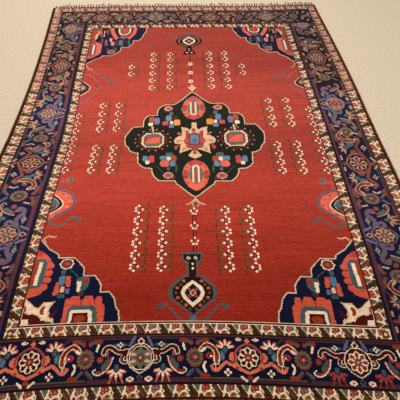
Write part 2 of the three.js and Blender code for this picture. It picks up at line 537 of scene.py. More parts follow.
# %% Finials, stems and vases
VASE_RING = [(0, 57), (38, 26), (47, 0), (38, -24), (0, -60)]
VASE_BODY = [(14, 78), (32, 78), (84, 30), (89, 12), (88, -14), (82, -28), (0, -98)]
vase_dots = []
for k, share in enumerate(np.linspace(0.05, 0.95, 8)):
    x = np.interp(share, (0, 0.35, 0.5, 1), (30, 66, 66, 6))
    y = np.interp(share, (0, 0.35, 0.5, 1), (58, 16, -12, -74))
    vase_dots += [("salmon" if k % 2 == 0 else "olive", both(oval(x, y, 14 if k % 2 == 0 else 11, 13)))]
VASE_HOOK = [(6, -94), (22, -116), (48, -108), (84, -68), (98, -52), (114, -46), (126, -50)]
vase = [
    ("slate", both(strand(8, *VASE_HOOK))),
    ("teal", both(oval(127, -57, 24, 20))),
    ("periwinkle", patch((-8, -88), (8, -88), (10, -112), (-10, -112))),
    ("slate", folded((20, 86), (24, 138), (40, 146), (44, 188), (0, 188))),
    ("slate", folded(*VASE_BODY)),
    ("slate", both(bar(8, *VASE_BODY[1:6]))),
    ("dark brown", folded((10, 70), (30, 69), (76, 26), (80, 0), (76, -22), (0, -88))),
    ("dark brown", folded((14, 60), (16, 144), (35, 152), (36, 180), (0, 180))),
    *vase_dots,
    ("ivory", folded(*VASE_RING)),
    ("black green", folded((0, 41), (24, 18), (33, 0), (24, -18), (0, -41))),
    ("rose", bloom(0, 0, 54, 60, 4, 0.45, 45)),
    ("navy", oval(0, 0, 26, 42)),
    ("pink", bloom(0, 0, 24, 32, 4, 0.1, 0)),
    ("rust", oval(0, 0, 13, 20)),
    ("ivory", both(bloom(15, 160, 17, 19, 4, 0.15, 0))),
    ("moss grey", both(oval(15, 160, 7, 8))),
    *dots("ivory", 10, (2, 131), (2, 110)),
]
FAR_VASE_LINE = [(12, 64), (30, 63), (70, 24), (74, 0), (70, -20), (0, -80)]
far_vase = vase[:3]  # the hooks and the foot stay as they are
for wool, shape in vase[3:]:
    if (wool, shape) not in vase_dots:
        far_vase.append(("dark brown" if wool == "slate" else wool, shape))
far_vase.insert(8, ("tan", both(bar(3.2, *FAR_VASE_LINE))))
finial = [
    ("tan", both(strand(6, (0, -2), (12, -18), (26, -32), (42, -38)))),
    ("olive", folded((0, -10), (10, -24), (16, -38), (10, -50), (0, -46))),
    ("tan", both(strand(4, (2, -12), (14, -36), (8, -50)))),
]
pole_flower = dots("ivory", 11, (0, 17), (-15, 2), (13, 2), (-7, -14), (7, -14))
pole_flower.append(("rust", oval(0, 0, 10, 10)))
twin_stem = [("maroon", both(bar(4, (7, 0), (7, -228))))]
tie(twin_stem, -8, -530)
tie(vase, -22, -945)
tie(finial, 0, -460)
for place in (-538, -620, -700):
    tie(pole_flower, -8, place)
tie([("maroon", bar(6, (0, 0), (-4, 300)))], -2, 425)
tie(far_vase, -10, 903, 180, 0.93, 0.88)
tie([("tan", folded((0, 76), (5, 62), (13, 46), (28, 44), (16, 26), (5, 12), (0, 0)))], 0, 348)
for place in (452, 541, 634):
    tie([("ivory", bloom(0, 0, 32, 38, 6, 0.1)), ("rust", oval(0, 0, 13, 15))], -6, place)

# %% [markdown]
# ## The flower columns
# Columns of small flowers, each of five ivory dots with a crescent leaf beside it. Their places
# are listed, because the weaver spaced them by eye.

# %% Flower columns
flower = [
    ("deep madder", bar(4, (44, 34), (43, -34))),
    ("olive", strand(8, (22, 18), (36, 13), (42, 0), (36, -13), (22, -18))),
    ("maroon", oval(36, 0, 7, 9)),
    ("maroon", oval(-1, 0, 26, 34)),
    ("rust", oval(0, 0, 14, 16)),
    *dots("ivory", 12, (-1, 19), (-1, -19), (-14, 8), (-14, -8), (15, 0)),
]
row_thread = [("deep madder", bar(3, (44, 0), (96, 0)))]
COLUMNS_OF_FLOWERS = [  # place across for the left ones, their mirror on the right, places along
    (-259, 239, (-526, -588, -648, -708, -767, -825)),
    (-148, 131, (-530, -588, -648, -708, -767, -826)),
    (-241, 217, (393, 464, 535, 612, 684, 746)),
    (-134, 117, (397, 466, 538, 610, 684, 746)),
    (-374, 318, (535, 606)),
    (-520, 533, (44, 102, 172, 245)),
    (-428, 432, (44, 102, 172, 245)),
    (-520, 533, (-110, -165, -221, -278)),
    (-426, 430, (-110, -165, -221, -278)),
]
for left, right, places in COLUMNS_OF_FLOWERS:
    for k, place in enumerate(places):
        size = 1.0 if place < -300 else 0.95
        tie(flower, left, place, 0, size, size)
        tie(flower, right, place, 0, -size, size)
        if k % 2 == 0 and abs(left) < 300:
            tie(row_thread, left, place)
            tie(row_thread, right, place, 0, -1)
for k in range(8):
    for side in (-1, 1):
        tie(flower[1:], side * 650, 158 - 62 * k, 0, -side * 0.9, 0.9)

# %% [markdown]
# ## Half medallions and hooks at the sides
# The near pair is layered from slate over salmon to a pale lozenge with a dark heart. It has a row
# of dots, a hook below and a bud above. The far pair is smaller and fainter, as woven.

# %% Half medallions at the sides
near_half = [
    ("slate", patch((0, 100), (42, 94), (86, 68), (106, 36), (112, 4), (94, -28), (46, -68), (0, -100))),
    ("madder", patch((0, 94), (39, 88), (81, 64), (100, 34), (106, 4), (89, -25), (43, -62), (0, -93))),
    ("slate violet", patch((0, 90), (36, 84), (77, 60), (96, 32), (101, 4), (85, -22), (40, -58), (0, -89))),
    ("salmon", patch((0, 86), (32, 80), (72, 58), (91, 31), (96, 4), (80, -20), (37, -54), (0, -84))),
    *[(wool, oval(x, y, 8, 8)) for x, y, wool in
      ((30, -50, "maroon"), (46, -38, "gold"), (60, -26, "olive"), (74, -13, "gold"), (82, 2, "maroon"),
       (79, 18, "gold"), (70, 34, "maroon"), (56, 50, "gold"), (38, 64, "olive"), (16, -66, "gold"))],
    ("ivory", patch((0, 62), (24, 44), (48, 19), (56, -2), (44, -24), (0, -58))),
    ("black green", patch((0, 56), (22, 40), (43, 17), (50, -2), (39, -21), (0, -51))),
    ("dusty pink", patch((0, 42), (18, 30), (35, 6), (27, -16), (0, -38))),
    ("slate", patch((0, 37), (15, 27), (30, 5), (23, -13), (0, -33))),
    ("purple brown", patch((0, -10), (20, -8), (22, -16), (0, -34))),
    ("slate", strand(9, (8, -96), (22, -112), (44, -122), (66, -118), (90, -92), (112, -72), (128, -73))),
    ("teal", strand(11, (126, -73), (138, -84), (143, -100))),
    ("rose", bar(7, (22, 152), (14, 130), (8, 108))),
    ("mauve rose", bar(6, (32, 146), (24, 120), (16, 104))),
    ("mauve rose", oval(54, 150, 40, 44)),
    ("slate", oval(56, 152, 22, 26)),
    ("rose", oval(46, 142, 12, 14)),
    ("tan", strand(6, (4, -214), (10, -186), (28, -172), (44, -178), (58, -174))),
    ("tan", strand(6, (10, -188), (18, -200), (24, -212))),
]
tie(near_half, -FIELD_SIDE, -492)
tie(near_half, FIELD_SIDE, -498, 0, -1)
far_half = [
    *[(wool, strand(wide, *points)) for wool, wide, points in (
        ("rose", 8, ((10, 132), (44, 116), (74, 84), (98, 44))),
        ("brick", 6, ((22, 100), (50, 82), (72, 56), (80, 24))),
        ("mauve rose", 8, ((104, 20), (100, -24), (70, -72), (30, -108))),
        ("brick", 6, ((82, -14), (66, -48), (36, -82), (8, -104))),
        ("slate violet", 5, ((6, -128), (20, -138), (34, -130))),
        ("mauve rose", 11, ((22, 176), (60, 150), (104, 112))),
        ("slate violet", 8, ((98, 116), (130, 88), (168, 62))),
        ("moss grey", 5, ((110, 98), (140, 74), (176, 52))),
    )],
    ("olive", oval(98, 4, 16, 26)),
    ("slate", oval(178, 54, 30, 26)),
    ("worn ivory", patch((0, 66), (34, 34), (54, 8), (52, -22), (34, -44), (0, -70))),
    ("black green", patch((0, 59), (30, 30), (48, 6), (46, -19), (30, -38), (0, -62))),
    ("purple brown", patch((0, 40), (20, 24), (36, 4), (32, -14), (0, -36))),
    ("dusty pink", patch((0, 30), (15, 16), (24, 0), (18, -12), (0, -24))),
    ("tan", strand(5, (6, 224), (14, 204), (30, 186), (46, 182))),
]
tie(far_half, -FIELD_SIDE, 402)
tie(far_half, FIELD_SIDE, 426, 0, -0.85, 0.9)
print("field tied")

# %% [markdown]
# ## The cornerpieces
# A cornerpiece is counted from the field's corner: x away from the side guard, y away from the end
# guard. This is the near pair: a half palm on each guard, a rosette, blunt flowers between them and
# a pale broken leaf in the corner.

# %% The cornerpiece
CORNER_EDGE = [
    (0, 382), (44, 334), (87, 307), (93, 289), (155, 290), (184, 261), (204, 240), (208, 201),
    (253, 200), (271, 178), (281, 160), (282, 128), (319, 127), (339, 100), (349, 62), (362, 44), (363, 0),
]
side_palm = [
    ("salmon", patch((0, 330), (22, 320), (52, 294), (70, 268), (70, 150), (40, 122), (0, 110))),
    *[("salmon", oval(64, y, 36, 31)) for y in (250, 218, 186)],
    ("salmon", oval(56, 156, 34, 30)),
    ("salmon", oval(42, 137, 28, 24)),
    ("crimson", patch((0, 330), (20, 321), (28, 306), (0, 296))),
    *[("navy", bar(3.5, (54, y), (84, y + 2))) for y in (234, 202, 171)],
    ("deep madder", bar(3, (48, 268), (64, 284))),
    ("slate", patch((0, 287), (36, 287), (52, 268), (52, 172), (36, 154), (0, 154))),
    ("rust", patch((0, 276), (22, 276), (22, 162), (0, 162))),
    ("ivory", patch((19, 270), (33, 270), (31, 164), (15, 164))),
]
end_palm = [
    ("salmon", patch((149, 0), (152, 60), (158, 100), (300, 96), (308, 40), (304, 0))),
    ("navy", patch((150, 70), (168, 84), (168, 128), (146, 128))),
    ("navy", patch((272, 128), (272, 112), (300, 112), (292, 84), (312, 60), (330, 128))),
    *[("salmon", bloom(x, y, wide, high, 4, 0.05, 45)) for x, y, wide, high in
      ((162, 78, 24, 60), (189, 95, 42, 44), (240, 95, 42, 44), (280, 98, 28, 26), (292, 52, 34, 52))],
    ("navy", bar(3.5, (215, 74), (214, 118))),
    ("navy", bar(3.5, (265, 80), (266, 112))),
    ("slate", patch((166, 0), (166, 58), (182, 74), (258, 74), (276, 56), (284, 0))),
    ("ivory", patch((174, 0), (176, 48), (184, 57), (250, 57), (259, 48), (266, 0))),
    ("maroon", patch((186, 0), (188, 45), (244, 45), (251, 0))),
    ("rust", oval(216, 20, 46, 30)),
]
corner_rosette = [
    ("ivory", bloom(131, 259, 60, 54, 8, 0.07)),
    ("maroon", bloom(131, 259, 48, 43, 8, 0.06)),
    ("rust", bloom(131, 259, 44, 40, 8, 0.25)),
    ("periwinkle", oval(131, 259, 9, 10)),
    ("slate", strand(3.5, (147, 232), (184, 200), (190, 178))),
]
corner_flowers = [
    ("slate", oval(124, 220, 20, 28)),
    ("sky", patch((112, 202), (136, 204), (138, 166), (128, 158), (114, 166))),
    ("salmon", patch((138, 202), (158, 202), (161, 160), (156, 152), (142, 160))),
    ("salmon", patch((104, 176), (116, 170), (122, 134), (112, 118), (97, 122))),
    ("tan", patch((124, 156), (140, 156), (140, 133), (124, 133))),
    ("periwinkle", patch((142, 148), (160, 146), (160, 126), (146, 126))),
    ("teal", bloom(131, 116, 34, 24, 4, 0.1, 45)),
    ("slate", patch((182, 188), (206, 200), (232, 196), (234, 158), (222, 140), (196, 126), (184, 150))),
    ("ivory", patch((186, 176), (202, 176), (204, 142), (198, 130), (188, 134))),
    ("rust", oval(219, 177, 27, 28)),
    ("teal", oval(212, 149, 22, 26)),
    ("purple brown", oval(208, 124, 20, 20)),
]
corner_patch = [
    ("tan", patch((0, 112), (18, 96), (36, 78), (48, 72), (60, 74), (72, 92), (114, 94), (104, 76), (96, 60),
                  (104, 40), (122, 20), (124, 0), (0, 0))),
    ("ivory", patch((2, 106), (18, 90), (38, 74), (60, 68), (74, 84), (100, 88), (92, 58), (84, 26),
                    (58, 44), (30, 42), (14, 58), (2, 84))),
    ("dark brown", patch((44, 88), (60, 94), (64, 78), (54, 68), (42, 76))),
    ("crimson", patch((0, 84), (10, 78), (14, 58), (4, 56))),
    ("maroon", patch((4, 56), (20, 44), (40, 46), (62, 36), (72, 26), (96, 12), (120, 8), (120, 0), (0, 0))),
    ("rust", oval(76, 58, 24, 36)),
    ("ivory", strand(9, (88, 78), (84, 52), (92, 30), (78, 22))),
    ("maroon", patch((98, 40), (112, 44), (122, 60), (132, 64), (124, 40), (108, 24))),
    ("ivory", strand(6, (88, 24), (104, 18), (118, 2))),
    ("leaf green", oval(104, 8, 26, 10)),
    ("ivory", patch((4, 26), (28, 26), (30, 4), (4, 4))),
]
cornerpiece = [
    ("navy", patch((0, 0), *CORNER_EDGE)),
    *side_palm,
    *corner_patch,
    *end_palm,
    *corner_rosette,
    *corner_flowers,
    ("dark brown", bar(11, *CORNER_EDGE)),
    ("worn ivory", bar(6, *CORNER_EDGE)),
]

# %% [markdown]
# The far pair keeps the outline, drawn a little longer. Its palms are rounder and narrower, and
# small blocks of bright wool fill the angle.

# %% The far cornerpiece
far_side_palm = [
    ("salmon", patch((0, 326), (30, 314), (60, 282), (80, 256), (80, 166), (62, 146), (34, 140), (0, 150))),
    ("crimson", patch((6, 322), (30, 308), (44, 290), (40, 274), (10, 276))),
    ("slate", patch((14, 272), (44, 272), (46, 262), (46, 174), (38, 164), (12, 164))),
    ("rust", patch((0, 290), (22, 280), (22, 160), (0, 160))),
    ("ivory", patch((22, 268), (33, 268), (33, 170), (22, 170))),
    ("maroon", bar(4, (14, 270), (14, 160))),
]
far_end_palm = [
    ("olive", patch((170, -8), (172, 40), (186, 72), (214, 84), (244, 72), (264, 44), (270, -8))),
    ("mauve rose", bloom(214, 88, 60, 40, 4, 0.1)),
    ("salmon", bar(26, (126, -8), (138, 40), (166, 98))),
    ("salmon", bar(24, (290, -8), (284, 48), (252, 98))),
    ("rust", patch((186, -8), (188, 40), (214, 58), (246, 42), (250, -8))),
    ("crimson", oval(220, 20, 26, 56)),
    ("ivory", strand(9, (181, -8), (182, 36), (192, 56), (214, 66), (240, 56), (252, 38), (254, -8))),
    ("leaf green", oval(214, 72, 18, 10)),
]
far_blocks = [
    ("rust", patch((0, -8), (62, -8), (66, 40), (30, 64), (0, 110))),
    ("teal", patch((12, -8), (36, -8), (34, 20), (14, 20))),
    ("coral", patch((34, 24), (56, 28), (52, 60), (38, 56))),
    ("crimson", bar(13, (60, 24), (66, 76))),
    ("tan", bar(16, (34, 60), (28, 98))),
    ("ivory", bar(4, (80, 26), (82, 76))),
    ("rose", oval(88, 33, 14, 20)),
    ("olive", bar(14, (104, 12), (106, 52))),
    ("rust", bar(26, (14, 110), (24, 148))),
    ("maroon", oval(50, 134, 20, 20)),
    ("olive", bar(14, (72, 100), (76, 142))),
    ("rose", bloom(101, 136, 20, 48, 2, 0.1)),
    ("slate violet", oval(106, 168, 22, 30)),
    ("tan", patch((120, 92), (140, 98), (138, 136), (124, 130))),
    ("coral", bloom(147, 158, 28, 50, 4, 0.06, 45)),
    ("purple brown", bar(13, (172, 124), (176, 178))),
    ("sky", bar(15, (194, 128), (196, 172))),
    ("slate", bar(12, (208, 122), (212, 186))),
    ("maroon", bar(10, (228, 128), (232, 160))),
    ("teal", bar(16, (252, 130), (256, 172))),
    ("slate", bar(8, (122, 208), (118, 228))),
    ("teal", bar(14, (162, 204), (178, 228))),
]
far_rosette = [
    ("dusty pink", bloom(146, 249, 54, 50, 6, 0.06)),
    ("mauve rose", bloom(146, 249, 42, 38, 6, 0.1)),
    ("rust", oval(146, 249, 18, 16)),
]
far_cornerpiece = [
    ("navy", patch((0, -8), *CORNER_EDGE)),
    *far_side_palm,
    *far_blocks,
    *far_end_palm,
    *far_rosette,
    ("worn ivory", bar(5.5, *CORNER_EDGE)),
]
for side in (-1, 1):
    tie(cornerpiece, side * FIELD_SIDE, FIELD_NEAR, 0, -side, 1.0)
    tie(far_cornerpiece, side * FIELD_SIDE, FIELD_FAR, 0, -side, -1.13)
tie([("worn ivory", bar(3, (-FIELD_SIDE, 0), (FIELD_SIDE, 0)))], 0, FIELD_NEAR + 1.5)
print("cornerpieces tied")

# %% [markdown]
# ## Bands
# The navy main border runs between two ivory guards, each edged with a thin dark line. The bands
# are measured as distances from the middle across, and as places along for the two ends.

# %% The bands' edges
SIDE_BANDS = [  # wool, inner edge, outer edge
    ("maroon", FIELD_SIDE, 670),
    ("ivory", 670, 710),
    ("dark brown", 710, 716),
    ("navy", 716, 902),
    ("dark brown", 902, 908),
    ("ivory", 908, 958),
    ("dark brown", 958, 972),
]
NEAR_BANDS = [  # wool, outer edge, inner edge
    ("dark brown", -1070, FIELD_NEAR),
    ("ivory", -1109, -1070),
    ("dark brown", -1114, -1109),
    ("navy", -1283, -1114),
    ("dark brown", -1290, -1283),
    ("ivory", -1328, -1290),
    ("maroon", -1340, -1328),
]
FAR_BANDS = [  # wool, inner edge, outer edge
    ("maroon", FIELD_FAR, 1077),
    ("ivory", 1077, 1121),
    ("dark brown", 1121, 1128),
    ("navy", 1128, 1308),
    ("dark brown", 1308, 1314),
    ("ivory", 1314, 1366),
    ("maroon", 1366, 1380),
]


across_field, along_field = np.meshgrid(np.abs(knot_s), knot_t)


def weave_band(band, place, room, zone):
    """One band of one wool, where there is room for it between the others."""
    wool, start, end = band
    here = (place >= start) & (place < end) & room
    chart[here] = WOOL_NAMES.index(wool)
    zones[here] = zone


for k, (side, near, far) in enumerate(zip(SIDE_BANDS, NEAR_BANDS, FAR_BANDS), start=1):
    weave_band(side, across_field, (along_field > near[1]) & (along_field < far[2]), k)
    weave_band(near, along_field, across_field < side[2], -k)
    weave_band(far, along_field, across_field < side[2], -k)

# %% [markdown]
# ## The guards' vine
# An ivory ground is almost covered by slanting dark leaves, small triangles, and lobed flowers over
# small buds. Only ivory lines are left between them, so they read as a vine. Three choices of wool
# take turns.

# %% One repeat of the guard
GUARD_REPEAT = 84.0  # the length that the motif is drawn at


def guard_leaf(leaf, spot, triangle, flower, petal, bud, heart):
    """A large slanting leaf, a triangle, a lobed flower and a bud below it, parted by thin ivory stems."""
    return [
        (leaf, patch((1, 17), (19, 17), (27, 8), (34, -2), (41, -12), (36, -18), (12, -18), (7, -8), (11, 0),
                     (3, 9))),
        (spot, strand(4, (13, 11), (17, -2), (28, -12))),
        (triangle, patch((24, 17), (46, 17), (43, 6), (38, -5), (31, 5))),
        (leaf, patch((40, -18), (46, -8), (53, -8), (58, -18))),
        (flower, patch((50, 8), (52, 17), (78, 17), (81, 9), (76, 1), (68, 0), (60, -7), (53, -4), (49, 2))),
        *dots(petal, 6, (57, 9), (69, 10), (60, 0)),
        (bud, patch((61, -11), (70, -5), (80, -4), (86, -10), (83, -18), (60, -18))),
        (heart, oval(73, -11, 9, 7)),
        (triangle, patch((82, 5), (88, 5), (91, -4), (92, -12), (88, -6))),
    ]


GUARD_LEAVES = [
    guard_leaf("umber", "mauve rose", "olive", "mauve rose", "dusty pink", "ochre", "umber"),
    guard_leaf("umber", "dark brown", "moss grey", "rust", "dusty pink", "ochre", "umber"),
    guard_leaf("purple brown", "slate", "ochre", "mauve rose", "coral", "moss grey", "rose"),
]


def guard_run(kind, fixed, size, places, zone):
    """Repeats the vine. Some repeats' places are given, and those between them are even."""
    numbers = list(places)
    for k in range(numbers[0], numbers[-1]):
        place, after = np.interp((k, k + 1), numbers, list(places.values()))
        motif = GUARD_LEAVES[k * k % 3]
        step = (after - place) / GUARD_REPEAT
        if kind == "end":
            tie(motif, place, fixed, 0, step, size, zone)
        else:
            tie(motif, fixed, place, 90, step, size if kind == "right" else -size, zone)


guard_run("end", -1090, 1.12, {0: -751, 17: 698}, -2)
guard_run("end", 1099, 1.2, {0: -734, 5: -296, 11: 227, 17: 770}, -2)
guard_run("end", -1309, 1.08, {0: -987, 23: 971}, -6)
guard_run("end", 1340, 1.4, {0: -936, 2: -770, 8: -273, 14: 242, 22: 974}, -6)
guard_run("left", -690, 1.1, {0: -1135, 1: -1044, 5: -666, 10: -252, 15: 160, 20: 643, 25: 1110}, 2)
guard_run("right", 690, 1.1, {0: -1094, 4: -728, 9: -272, 14: 232, 18: 638, 23: 1100}, 2)
guard_run("left", -933, 1.4, {0: -1294, 13: -176, 17: 162, 22: 636, 30: 1388}, 6)
guard_run("right", 933, 1.4, {0: -1302, 12: -117, 15: 206, 19: 623, 28: 1441}, 6)
corner_knot = [("umber", bloom(0, 0, 32, 32, 4, 0.15, 45)), ("tan", oval(0, 0, 12, 12))]
for side in (-1, 1):
    for near, far, apart, zone in ((-1090, 1099, 690, -2), (-1309, 1340, 933, -6)):
        tie(corner_knot, side * apart, near, zone=zone)
        tie(corner_knot, side * apart, far, zone=zone)
print("guards tied")

# %% [markdown]
# ## The main border
# Two large units take turns along the border, with a daisy between them. The first is a lozenge
# rosette in a frame whose arms wave outwards, under two lotus flowers. The second is a round
# rosette under dark leafy shoulders, over two lotus flowers, with a split leaf at each side. The
# side borders use the same units in other wools.

# %% Small border pieces
def lotus(x, y, up, petal, edge, heart):
    """A fan of petals over a heart, pointing up or, with up at -1, down."""
    fan = []
    for far, wide, wool in ((29, 11, edge), (24, 7, petal)):
        for lean in (-78, -40, 0, 40, 78):
            dx = math.sin(math.radians(lean))
            dy = math.cos(math.radians(lean)) * up
            fan.append((wool, bar(wide, (x + 9 * dx, y + 6 * dy), (x + far * dx, y + far * dy))))
    fan.append(("navy", oval(x, y - 6 * up, 22, 30)))
    fan.append((heart, oval(x, y - 8 * up, 16, 24)))
    return fan


def daisy(petal, gap):
    return [
        (gap, bloom(0, 0, 62, 74, 14, 0.04)),
        (petal, bloom(0, 0, 58, 70, 14, 0.14)),
        ("dark brown", bloom(0, 0, 40, 46, 12, 0.1)),
        (petal, bloom(0, 0, 34, 38, 12, 0.16)),
        ("navy", oval(0, 0, 24, 26)),
        ("crimson", oval(0, 0, 20, 22)),
        ("pink", oval(2, 1, 8, 8)),
    ]


# %% The two large units
def scalloped_rosette(petal, heart):
    return [
        ("black green", bloom(0, 0, 86, 92, 4, 0.04, 45)),
        ("ivory", bloom(0, 0, 75, 82, 8, 0.07)),
        (petal, bloom(0, 0, 68, 74, 8, 0.11)),
        ("ivory", bloom(0, 0, 60, 64, 8, 0.42, 112.5)),
        (petal, bloom(0, 0, 42, 44, 8, 0.2)),
        (heart, bloom(0, 0, 30, 28, 4, 0.2)),
        ("pink", oval(0, 0, 9, 9)),
    ]


def dotted_round(ground, spot):
    return [
        ("ivory", bloom(0, 0, 82, 92, 8, 0.02, 112.5)),
        ("dark brown", bloom(0, 0, 75, 85, 8, 0.02, 112.5)),
        (ground, bloom(0, 0, 70, 80, 8, 0.1)),
        ("dark brown", bloom(0, 0, 30, 34, 8, 0.3)),
        (spot, both(bloom(25, 13, 20, 13, 4, 0.1, 0))),
        (spot, both(bloom(25, -13, 20, 13, 4, 0.1, 0))),
        ("rust", oval(0, 0, 18, 20)),
        ("ivory", oval(0, 1, 6, 7)),
    ]


def framed_lozenge(frame, arm_wool, blob, heart):
    leaf = [(114, -18), (112, 8), (119, 28), (131, 41), (146, 47), (159, 40), (167, 28)]
    arm = [
        (0, -57), (32, -42), (48, -31), (67, -25), (80, -19), (94, -29), (110, -45), (124, -47), (133, -33),
    ]
    ring = [(0, 54), (24, 43), (43, 23), (50, 2), (43, -24), (22, -46), (0, -57)]
    return [
        ("slate", both(oval(94, 6, 22, 38))),
        ("sky", both(oval(92, 4, 12, 24))),
        (blob, both(patch((42, 20), (62, 18), (70, 6), (68, -8), (58, -16), (42, -12)))),
        *twice([(frame, strand(9, *ring))]),
        (arm_wool, both(strand(12, *arm))),
        (arm_wool, both(patch((30, -34), (44, -14), (58, -24), (60, -34), (40, -46)))),
        ("rust", both(oval(42, -38, 12, 10))),
        *scalloped_rosette("maroon", heart),
        *twice(lotus(81, 36, 1, "ivory", arm_wool, "slate")),
        *twice(crossed_dots("ivory", "rust", 76, -55, 9, 9)),
        ("ivory", both(oval(31, 70, 24, 11))),
        ("pink", both(oval(29, 70, 13, 8))),
        (blob, bloom(0, 65, 20, 22, 4, 0.15, 0)),
        ("rust", bloom(0, -70, 20, 20, 4, 0.15, 0)),
        ("ivory", both(bar(8, (28, -70), (12, -84)))),
        ("ivory", both(oval(114, -4, 25, 46))),
        ("rust", both(oval(114, -4, 19, 40))),
        *twice(lined(leaf, "rust", 13)),
        ("maroon", both(strand(4, *leaf[1:6]))),
        ("ivory", both(bar(6, (158, 34), (169, 22)))),
        ("crimson", both(oval(138, 6, 28, 24))),
        ("maroon", both(oval(136, 4, 17, 15))),
        ("ivory", both(oval(134, 3, 9, 8))),
        ("tan", both(bar(3.5, (118, -22), (118, -42)))),
        ("tan", both(bar(3.5, (110, -26), (126, -26)))),
        ("ivory", both(strand(8, (155, -19), (161, -34), (154, -52)))),
        ("rust", both(bloom(156, -68, 34, 26, 2, 0.2, 0))),
    ]


def shouldered_round(middle, shoulder, flower, tips, rim="ivory"):
    branch = [(30, 23), (47, 27), (65, 21), (85, 26), (103, 39), (116, 42), (127, 34), (131, 20)]
    curl = [(40, -6), (53, -16), (66, -7), (61, 8)]
    frame = [(0, 56), (20, 52), (40, 34), (49, 8), (47, -14), (34, -36), (12, -52), (0, -58)]
    outline = [(97, 4), (103, -19), (115, -40), (135, -56), (155, -56), (163, -45), (153, -37)]
    return [
        ("slate", both(oval(74, 49, 50, 15))),
        *twice(crossed_dots("ivory", "navy", 74, 50, 7, 7)),
        ("periwinkle", both(bar(10, (24, 78), (40, 46)))),
        ("ivory", both(strand(4, *outline))),
        ("rust", both(strand(8, (103, 2), (108, -17), (120, -36), (137, -49), (152, -48)))),
        ("slate", both(patch((109, 10), (122, -8), (138, -32), (130, -42), (116, -26), (108, -8)))),
        ("rose", both(patch((120, 36), (128, 18), (126, 4), (112, 8), (112, 20)))),
        ("rust", both(oval(141, -4, 23, 24))),
        ("rose", both(oval(141, -4, 12, 12))),
        *twice(lined(curl, shoulder, 9, rim, 2.6)),
        *twice(lined(branch, shoulder, 13, rim, 2.8)),
        (shoulder, both(oval(58, 20, 30, 20))),
        (rim, folded(*frame)),
        (shoulder, folded(*[(x * 0.93, y * 0.94) for x, y in frame])),
        *middle,
        ("ivory", patch((0, 79), (14, 63), (0, 47), (-14, 63))),
        ("maroon", patch((0, 73), (9, 63), (0, 53), (-9, 63))),
        ("ivory", both(oval(32, -76, 26, 17))),
        ("pink", both(oval(32, -76, 17, 10))),
        ("rust", both(oval(32, -76, 8, 5))),
        ("slate", patch((0, -58), (11, -72), (0, -86), (-11, -72))),
        ("maroon", patch((0, -63), (7, -72), (0, -81), (-7, -72))),
        *twice([(tips, bar(5, (x, -62), (x + lean, -86))) for x, lean in ((68, -12), (80, -2), (94, 10))]),
        *twice(lotus(81, -42, -1, flower, tips, "slate")),
    ]


# %% [markdown]
# Stripes of purple-brown run along both edges of the navy and break in angles round the units.

# %% Border stripes and the leaves at the daisies
UNIT_STEP = 193.0  # from a unit to the daisy beside it
stripes = {
    "first": [
        ("purple brown", both(bar(8, (104, 52), (126, 74), (198, 74)))),
        ("olive", both(bar(4, (0, -76), (198, -76)))),
    ],
    "second": [
        ("purple brown", both(bar(8, (19, 52), (40, 74), (198, 74)))),
        ("purple brown", both(bar(8, (85, -78), (175, -78)))),
    ],
}
stripes["spotted"] = stripes["second"]
end_edge_line = ("slate", both(bar(3.5, (0, 89), (198, 89))))
edge_lines = [
    ("purple brown", both(bar(7, (0, 82), (198, 82)))),
    ("dark brown", both(bar(3, (0, 77), (198, 77)))),
    ("purple brown", both(bar(5, (0, -85), (198, -85)))),
]
daisy_leaves = [
    ("rust", both(bloom(40, 64, 30, 28, 2, 0.2, 0))),
    ("ivory", both(bar(8, (41, 50), (36, 30)))),
    ("rust", both(oval(12, 56, 16, 20))),
    ("slate", both(oval(24, 62, 14, 14))),
    ("slate", both(bar(10, (8, -46), (28, -66)))),
    ("purple brown", both(bar(5, (4, -50), (20, -68)))),
]
UNITS = {  # in the end borders, and in the side borders
    "first": (
        framed_lozenge("rose", "coral", "coral", "rust"),
        framed_lozenge("mauve rose", "rust", "rust", "rose"),
    ),
    "second": (
        shouldered_round(scalloped_rosette("rust", "slate"), "maroon", "rose", "rust"),
        shouldered_round(scalloped_rosette("rust", "slate"), "slate violet", "pink", "gold", "mauve rose"),
    ),
    "spotted": (
        shouldered_round(dotted_round("moss grey", "pink"), "maroon", "ivory", "coral"),
        shouldered_round(dotted_round("rose", "pink"), "slate violet", "pink", "gold", "mauve rose"),
    ),
    "daisy": (daisy("moss grey", "rust") + daisy_leaves, daisy("moss grey", "rust") + daisy_leaves),
}

# %% [markdown]
# The units stand where the weaver put them: nearly even, and further apart towards the far end.

# %% Tie the main border
def with_daisies(*units):
    """The units in their order, with a daisy between each two."""
    return [kind for unit in units for kind in (unit, "daisy")][:-1]


END_KINDS = ["daisy", *with_daisies("first", "spotted", "first", "second"), "daisy"]
END_RUNS = [  # line along the rug, height of the motifs, places across
    (-1196, 0.95, [-790, -597, -404, -212, -20, 172, 368, 565, 758]),
    (1218, 1.04, [-828, -618, -432, -240, -45, 152, 355, 562, 765]),
]
SIDE_RUNS = [  # line across the rug, turn, kinds from the near end, places along
    (-817, -90, with_daisies("first", "second", "first", "second", "first", "second"),
     [-1040, -850, -650, -437, -225, -50, 152, 395, 620, 830, 1065]),
    (811, 90, with_daisies("first", "second", "first", "spotted", "first", "second"),
     [-1040, -850, -655, -452, -230, 0, 240, 490, 700, 890, 1105]),
]
SIDE_HEIGHT = 1.04


def border_pieces(kinds, places):
    """The stripes first, then the daisies, then the large units over them."""
    stretch = np.gradient(places) / UNIT_STEP
    for layer in ("stripes", "daisy", "unit"):
        for kind, place, wide in zip(kinds, places, stretch):
            if (kind == "daisy") == (layer == "daisy"):
                yield layer, kind, place, wide


